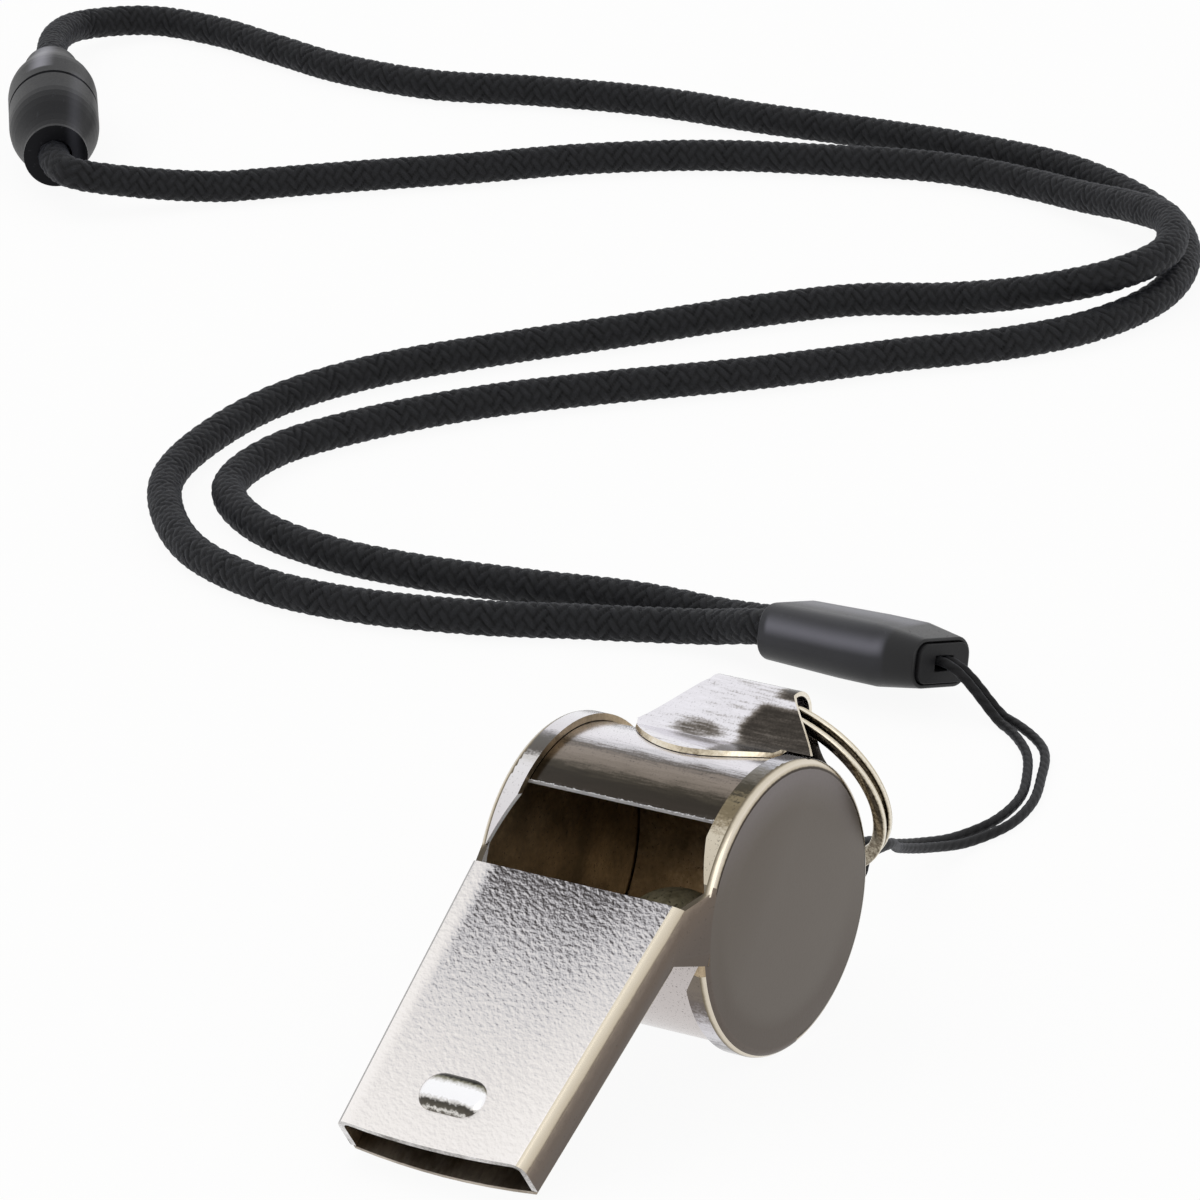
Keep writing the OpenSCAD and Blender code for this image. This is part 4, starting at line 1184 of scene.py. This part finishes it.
@dataclass
class BodyShell:
    """The drawn sheet of the whistle: top plate, side walls, cheeks and their rims.

    Its places are in millimetres: u along the plate's slope, n square to it, y across, all from the barrel's axis.
    """

    cheek: float = 10.0
    boss_u: float = 20
    mouth_u: float = 30
    plate_u: float = 7.5
    bend_u: float = 7.0
    bend_n: float = 9.6
    wall_u: float = 5
    notch_u: float = 9
    notch_n: float = 5
    rim_cut_r: float = 9.8
    rim_cut_y: float = 8.2
    throat_u: tuple = (5, 11.2)
    throat_n: float = 7
    throat_y: float = 7.9
    slack: float = 0.1
    grain_a: float = -28
    crease: float = 32
    edge: float = 0.05 * MM

    def finishes(self) -> dict[Zone, PlatedMetal]:
        """Lists the finishes of the shell's zones, whose tone bands are painted reflections and painted shade.

        Returns:
            The plated finish of each zone.
        """
        return {
            # Darker towards the window and lighter away from it: painted reflection and painted shade.
            Zone.PLATE: PlatedMetal("plate_blasted", Course.PLATE, (
                (2, (52, 49, 48)), (6, (84, 81, 81)), (9, (124, 121, 123)), (12, (168, 166, 169)),
                (15, (198, 196, 198)), (18, (213, 210, 210)), (23, (226, 222, 220)), (31, (240, 236, 233)),
                (40, (246, 242, 240))),
                roughness=0.36, spread=0.08, size=0.31 * MM, relief=0.07 * MM, stretch=(1, 0.6, 1), ragged=46,
                turn=(0.0, SLOPE, math.radians(self.grain_a)), painted_relief_step=0.1 * MM),
            # The right and left bends have their own painted reflections and painted shade.
            Zone.RIGHT_BEND: PlatedMetal("bend_polished", Course.BEND, (
                (-6, (112, 101, 92)), (3, (132, 120, 106)), (12, (196, 184, 164)), (40, (216, 206, 188)),
                (62, (220, 211, 193)), (73, (178, 165, 138)), (82, (98, 88, 68)), (90, (112, 102, 84)),
                (97, (196, 193, 192))),
                roughness=0.24, spread=0.04, size=0.5 * MM, stretch=(0.15, 1, 1), ragged=14, turn=SLOPED),
            # Lighter towards the bend: painted reflection.
            Zone.WALL: PlatedMetal("wall_satin", Course.WALL, (
                (7.4, (100, 92, 86)), (8.2, (104, 95, 88)), (9.1, (109, 98, 89)), (9.7, (126, 114, 103)),
                (10.2, (150, 138, 122))),
                roughness=0.36, spread=0.06, size=0.4 * MM, relief=0.012 * MM, stretch=(0.5, 1, 1), ragged=1.2,
                turn=SLOPED, speckle=0.2),
            # Lighter upwards and darker at the front: painted reflection and painted shade.
            Zone.DISC: PlatedMetal("disc_satin", Course.DISC, (
                (-8, (96, 89, 83)), (-1, (103, 97, 91)), (1, (105, 99, 93)), (5, (113, 107, 104)),
                (9, (124, 118, 118)), (11, (128, 122, 122))),
                roughness=0.38, size=0.22 * MM, relief=0.012 * MM, ragged=4, speckle=0.25,
                speck_tint=(0.09, 0.08, 0.07)),
            # The right and left rims have their own painted reflections and painted shade.
            Zone.RIGHT_RIM: PlatedMetal("right_rim_polished", Course.BARREL, (
                (30, (196, 186, 168)), (50, (205, 196, 178)), (55, (150, 138, 116)), (60, (118, 107, 86)),
                (66, (132, 121, 98)), (70, (74, 69, 58)), (74, (70, 66, 56)), (78, (100, 95, 86)),
                (84, (122, 118, 111)), (90, (156, 155, 160)), (95, (212, 211, 218)), (111, (226, 225, 231)),
                (116, (150, 148, 150)), (122, (70, 68, 68)), (132, (116, 112, 111)), (145, (122, 115, 114)),
                (165, (102, 98, 92)), (200, (106, 101, 95)), (240, (72, 68, 62)), (262, (188, 186, 186)),
                (285, (132, 128, 125)), (300, (208, 207, 208)), (309, (150, 147, 149)), (314, (122, 119, 122)),
                (318, (190, 188, 191)), (322, (214, 212, 216)), (328, (200, 196, 200)), (334, (150, 144, 144)),
                (339, (106, 98, 94)), (347, (122, 113, 104)), (390, (118, 110, 98))),
                relief=0.01 * MM, stretch=(1, 0.25, 1), ragged=22, speckle=0.5),
            Zone.LEFT_RIM: PlatedMetal("left_rim_polished", Course.BARREL, (
                (30, (214, 210, 212)), (60, (224, 222, 224)), (65, (205, 202, 200)), (67.5, (95, 91, 87)),
                (73, (97, 94, 90)), (77, (100, 97, 94)), (79.5, (152, 149, 152)), (82, (216, 213, 217)),
                (100, (230, 229, 233)), (108, (205, 203, 207)), (114, (108, 102, 102)), (121, (80, 75, 72)),
                (128, (156, 152, 154)), (136, (206, 203, 206)), (146, (228, 226, 229)), (152, (164, 160, 162)),
                (158, (101, 98, 99)), (180, (104, 99, 93)), (235, (78, 73, 68)), (270, (178, 172, 166)),
                (330, (205, 199, 193)), (390, (214, 210, 208))),
                stretch=(1, 0.25, 1), ragged=10, speckle=0.2),
            # Painted reflection round the rims' rounded edge.
            Zone.RIM_EDGE: PlatedMetal("rim_edge_polished", Course.EDGE, (
                (-3, (96, 89, 83)), (4, (58, 51, 45)), (12, (70, 62, 54)), (20, (186, 174, 154)),
                (36, (218, 209, 194)), (60, (208, 198, 180)), (74, (128, 118, 100)), (90, (84, 77, 66))),
                spread=0.04, size=0.4 * MM, relief=0.004 * MM, ragged=10),
            # Cut edges: near white with painted highlight, and dark with painted shade.
            Zone.PAINTED_LIT_CUT: PlatedMetal("cut_edge_painted_highlight", Course.PLAIN, (
                (0.2, (196, 195, 198)), (0.42, (244, 244, 247)), (0.7, (253, 253, 254))),
                roughness=0.5, spread=0.08, size=0.25 * MM, relief=0.01 * MM, ragged=0.3, metallic=0.2),
            Zone.PAINTED_SHADED_CUT: PlatedMetal("cut_edge_painted_shade", Course.PLAIN, (
                (0.3, (52, 47, 43)), (0.55, (92, 87, 84)), (0.75, (178, 176, 178))),
                roughness=0.3, spread=0.08, size=0.25 * MM, relief=0.01 * MM, ragged=0.8),
            Zone.INSIDE: PlatedMetal("inside_dull", Course.PLAIN, (
                (0.3, (130, 116, 94)), (0.5, (168, 150, 124)), (0.7, (206, 186, 156))),
                roughness=0.42, spread=0.1, size=0.4 * MM, relief=0.02 * MM, ragged=0.5, speckle=0.6,
                speck_tint=(0.06, 0.045, 0.03)),
            # Rings of painted highlight and painted shade round the boss.
            Zone.BOSS: PlatedMetal("boss_polished", Course.BOSS, (
                (-1.8, (120, 117, 108)), (-1.55, (52, 50, 44)), (-1.2, (40, 38, 33)), (-1.0, (128, 126, 110)),
                (-0.8, (206, 204, 200)), (-0.55, (250, 250, 252)), (0.55, (248, 248, 250)),
                (0.8, (206, 203, 200)), (0.95, (70, 67, 62)), (1.3, (92, 88, 80)), (1.45, (222, 219, 214)),
                (1.6, (84, 79, 70)), (1.8, (190, 186, 180))),
                spread=0.04, relief=0.01 * MM, ragged=0.6, turn=SLOPED),
            Zone.MOUTH_EDGE: PlatedMetal("mouth_edge_polished", Course.PLAIN, (
                (0.3, (112, 108, 104)), (0.5, (190, 187, 185)), (0.7, (236, 235, 235))),
                roughness=0.25, size=0.25 * MM, ragged=0.6),
            Zone.LEFT_BEND: PlatedMetal("left_bend_polished", Course.BEND, (
                (-6, (62, 58, 54)), (25, (74, 70, 66)), (55, (150, 148, 146)), (75, (222, 220, 219)),
                (97, (240, 237, 235))),
                roughness=0.24, spread=0.04, size=0.5 * MM, stretch=(0.15, 1, 1), ragged=10, turn=SLOPED)}

    def zone(self, spot: Vector, way: Vector) -> Zone:
        """Names the zone that a face lies in, from its place and from how far its normal turns which way.

        Args:
            spot: the face's middle from the barrel's axis, in millimetres.
            way: its normal.

        Returns:
            The zone.
        """
        c, s = math.cos(SLOPE), math.sin(SLOPE)
        u, n = spot.x * c - spot.z * s, spot.x * s + spot.z * c
        ahead, up = way.x * c - way.z * s, way.x * s + way.z * c
        side, away = abs(way.y), abs(spot.y)
        outward = way.y * spot.y > 0
        far = math.hypot(spot.x, spot.z)
        radial = (way.x * spot.x + way.z * spot.z) / max(far, 1e-6)
        if n > PLATE_TOP + self.slack / 5 and u > self.boss_u and up > 0:
            return Zone.BOSS
        if ahead > 0.5 and u > self.mouth_u:
            return Zone.MOUTH_EDGE
        if u > self.plate_u and n > PLATE_TOP - self.slack and up > 0.9:
            return Zone.PLATE
        if u > self.bend_u and n > self.bend_n and up > 0.12 and outward and side + up > 0.9:
            return Zone.RIGHT_BEND if spot.y > 0 else Zone.LEFT_BEND
        if away > self.cheek - self.slack and far < DISC_R + self.slack / 5 and outward and side > 0.99:
            return Zone.DISC
        if outward and side > 0.75 and u > self.wall_u and far > DISC_R - self.slack * 5:
            return Zone.WALL
        rim = u < self.notch_u or n < self.notch_n
        if rim and far > DISC_R - self.slack and radial > 0.98 and side < 0.12:
            return Zone.RIGHT_RIM if spot.y > 0 else Zone.LEFT_RIM
        if rim and far > DISC_R - self.slack / 2 and away > RIM_IN - self.slack / 2 and outward and radial > 0.02:
            return Zone.RIM_EDGE
        # Cut edges at the rims and the throat's sides get painted highlight, those at its middle painted shade.
        cut = side > 0.5 and not outward
        if cut and far > self.rim_cut_r and 0 < u < self.notch_u and n > 0 and away > self.rim_cut_y:
            return Zone.PAINTED_LIT_CUT
        if ahead < -0.35 and self.throat_u[0] < u < self.throat_u[1] and n > self.throat_n:
            return Zone.PAINTED_LIT_CUT if away > self.throat_y else Zone.PAINTED_SHADED_CUT
        return Zone.INSIDE

    def build(self) -> bpy.types.Object:
        """Makes the shell from its solid and dresses its zones.

        Returns:
            The piece.
        """
        made = welded_copy("body_shell", "body_shell_sheet", self.crease, self.edge)
        finishes = self.finishes()
        for zone in Zone:
            made.data.materials.append(finishes[zone].material())
        for face in made.data.polygons:
            face.material_index = self.zone((face.center - AXIS) / MM, face.normal)
        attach(made, "whistle")
        return made


@dataclass
class BarrelStrip:
    """The sheet wound round the chamber, and the burrs on its lip."""

    radius: float = 10.2 * MM
    thick: float = 0.5 * MM
    wide: float = 18.8 * MM
    corner: float = 0.07 * MM
    lip_a: float = 56.353
    end_a: float = 370.7
    steps: int = 240
    burrs: int = 150
    burr_size: float = 0.05 * MM
    burr_stray: float = 0.045 * MM
    burr_seed: int = 7
    burr_end: float = 0.1 * MM
    burr_rise: float = 0.42
    inside: float = 0.25
    lip_cos: float = 0.5

    def build(self) -> tuple:
        """Winds the strip and sets its burrs.

        Returns:
            The two pieces.
        """
        # The strip's tone bands round the barrel are painted reflections and painted shade.
        outside = PlatedMetal("strip_polished", Course.BARREL, (
            (30, (200, 196, 194)), (56, (60, 55, 50)), (63, (54, 50, 45)), (67, (70, 65, 57)),
            (70.5, (118, 109, 100)), (76, (138, 128, 119)), (79, (124, 115, 108)), (80.5, (86, 80, 74)),
            (82.5, (132, 127, 126)), (85, (196, 194, 198)), (89, (226, 223, 228)), (106, (232, 230, 235)),
            (114, (206, 204, 208)), (120, (132, 128, 130)), (130, (176, 173, 174)), (146, (120, 112, 106)),
            (160, (132, 124, 116)), (178, (106, 99, 92)), (205, (168, 164, 164)), (226, (88, 82, 76)),
            (242, (64, 59, 54)), (262, (178, 173, 170)), (300, (204, 198, 196)), (345, (196, 189, 187)),
            (390, (190, 183, 180))),
            spread=0.06, size=0.26 * MM, relief=0.005 * MM, stretch=(1, 0.1, 1), ragged=13, speckle=0.55).material()
        # The lip and its burrs carry the cut edge's painted highlight.
        lip = bpy.data.materials["cut_edge_painted_highlight"]
        made = WoundBand("barrel_strip_sheet", self.radius, self.lip_a, self.end_a, self.thick, self.wide,
                         self.corner, self.steps, (math.pi / 2, 0.0, 0.0), tuple(AXIS), outside).make()
        made.data.materials.append(bpy.data.materials["inside_dull"])
        made.data.materials.append(lip)
        lip_way = Vector((math.sin(math.radians(self.lip_a)), 0, -math.cos(math.radians(self.lip_a))))
        for face in made.data.polygons:
            spot = face.center - AXIS
            inward = face.normal.x * spot.x + face.normal.z * spot.z < 0
            if math.hypot(spot.x, spot.z) < self.radius - self.thick * self.inside and inward:
                face.material_index = 1
            if face.normal.dot(lip_way) > self.lip_cos and spot.z > 0 and spot.x > 0:
                face.material_index = 2
        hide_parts("barrel_strip")
        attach(made, "whistle")
        away = self.radius + self.thick * self.burr_rise
        edge = AXIS + Vector((math.cos(math.radians(self.lip_a)), 0, math.sin(math.radians(self.lip_a)))) * away
        half = Vector((0, self.wide / 2 - self.burr_end, 0))
        burrs = BurrLine("lip_burrs", tuple(edge - half), tuple(edge + half), self.burrs, self.burr_size,
                         self.burr_stray, self.burr_seed, lip).make()
        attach(burrs, "whistle")
        return made, burrs


@dataclass
class Windway:
    """The floor plate of the mouthpiece and the ramp behind it."""

    floor: tuple = ((0.25, (98, 88, 78)), (0.5, (140, 128, 114)), (0.75, (188, 178, 164)))
    ramp: tuple = ((0.3, (90, 76, 58)), (0.5, (120, 102, 80)), (0.7, (150, 130, 102)))

    def build(self) -> tuple:
        """Dresses the floor plate and the windway ramp.

        Returns:
            The two nodes' objects.
        """
        out = []
        for node, name, stops in (("mouthpiece_floor", "floor_satin", self.floor),
                                  ("windway_ramp", "ramp_dull", self.ramp)):
            finish = PlatedMetal(name, Course.PLAIN, stops, roughness=0.36, spread=0.08, relief=0.01 * MM,
                                 stretch=(0.3, 1, 1), ragged=0.5, turn=SLOPED, speckle=0.3)
            out.append(dress_cad(node, finish.material()))
        return tuple(out)


@dataclass
class Pea:
    """The cork ball that rolls in the chamber."""

    light: tuple = shown(190, 182, 152)
    dark: tuple = shown(146, 138, 110)

    def build(self) -> tuple:
        """Dresses the pea.

        Returns:
            The node's object.
        """
        return (dress_cad("pea", Cork("cork", self.light, self.dark).material()),)


@dataclass
class RingSaddle:
    """The folded sheet that holds the ring."""

    edge: float = 0.05 * MM
    edge_side: float = 0.6
    edge_rise: float = 0.7
    foot_r: float = 10.9

    def build(self) -> tuple:
        """Makes the saddle from its solid, with painted highlight and shade on its brushed faces and cream cut edges.

        Returns:
            The piece.
        """
        painted_light_faces = PlatedMetal("saddle_polished", Course.SADDLE, (
            (-0.3, (238, 236, 242)), (0.12, (226, 224, 229)), (0.35, (176, 172, 172)), (0.6, (108, 102, 96)),
            (0.9, (74, 69, 64)), (1.15, (58, 54, 50))),
            size=0.28 * MM, stretch=(1, 0.12, 1), ragged=1.5, speckle=0.2)
        cream = PlatedMetal("saddle_edge", Course.PLAIN, (
            (0.3, (120, 108, 86)), (0.5, (212, 200, 178)), (0.7, (240, 234, 222))),
            roughness=0.25, relief=0.004 * MM, ragged=0.4)
        made = welded_copy("ring_saddle", "ring_saddle_sheet", CREASE, self.edge)
        for finish in (painted_light_faces, cream):
            made.data.materials.append(finish.material())
        made.data.materials.append(bpy.data.materials["inside_dull"])
        for face in made.data.polygons:
            spot = (face.center - AXIS) / MM
            far = math.hypot(spot.x, spot.z)
            radial = (face.normal.x * spot.x + face.normal.z * spot.z) / far
            if abs(face.normal.y) > self.edge_side or far < self.foot_r and abs(radial) < self.edge_rise:
                face.material_index = 1
        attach(made, "whistle")
        return (made,)


@dataclass
class SplitRing:
    """Flat wire wound in two turns, with a short step between them."""

    radius: float = 8.0 * MM
    wire_w: float = 1.0 * MM
    wire_t: float = 0.45 * MM
    corner: float = 0.14 * MM
    turn_step: float = 0.87 * MM
    end_a: float = 9.0
    step_a: float = 26.0
    rise: float = 0.596 * MM
    hang_a: float = 247.98
    hook: tuple = (-16.999 * MM, 2.2 * MM, 22.141 * MM)
    steps: int = 420

    def build(self) -> tuple:
        """Winds the ring by a node tree.

        Returns:
            The piece.
        """
        # Bands across the wire: painted highlights, with painted shade at its edges and a darker line along its
        # middle.
        gold = PlatedMetal("ring_polished", Course.WIRE, (
            (-0.24, (102, 92, 76)), (-0.16, (216, 206, 186)), (-0.02, (237, 231, 218)), (0.08, (192, 180, 156)),
            (0.17, (230, 222, 204)), (0.24, (94, 84, 70))),
            relief=0.004 * MM, ragged=0.2, speckle=0.2).material()
        made = WoundBand("split_ring_wire", self.radius, self.end_a - 90, 630 - self.step_a - self.end_a,
                         self.wire_w, self.wire_t, self.corner, self.steps,
                         (0.0, -math.radians(self.hang_a), 0.0), self.hook, gold, self.radius - self.rise,
                         self.turn_step, 270 - self.step_a, 270).make()
        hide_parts("split_ring")
        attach(made, "ring")
        return (made,)


def main() -> None:
    """Builds the camera, the cords, the whistle and the studio, and reports each piece."""
    logging.basicConfig(level=logging.INFO, format="%(message)s")
    studio = Studio()
    studio.camera()
    cord = NeckCord()
    cord.cords()
    cord.fittings()
    shell = BodyShell().build()
    LOG.info("%s: %d faces", shell.name, len(shell.data.polygons))
    for part in (BarrelStrip(), Windway(), Pea(), RingSaddle(), SplitRing()):
        for made in part.build():
            LOG.info("%s: %d faces", made.name, len(made.data.polygons))
    studio.build()
    bpy.context.view_layer.update()


if __name__ == "__main__":
    main()
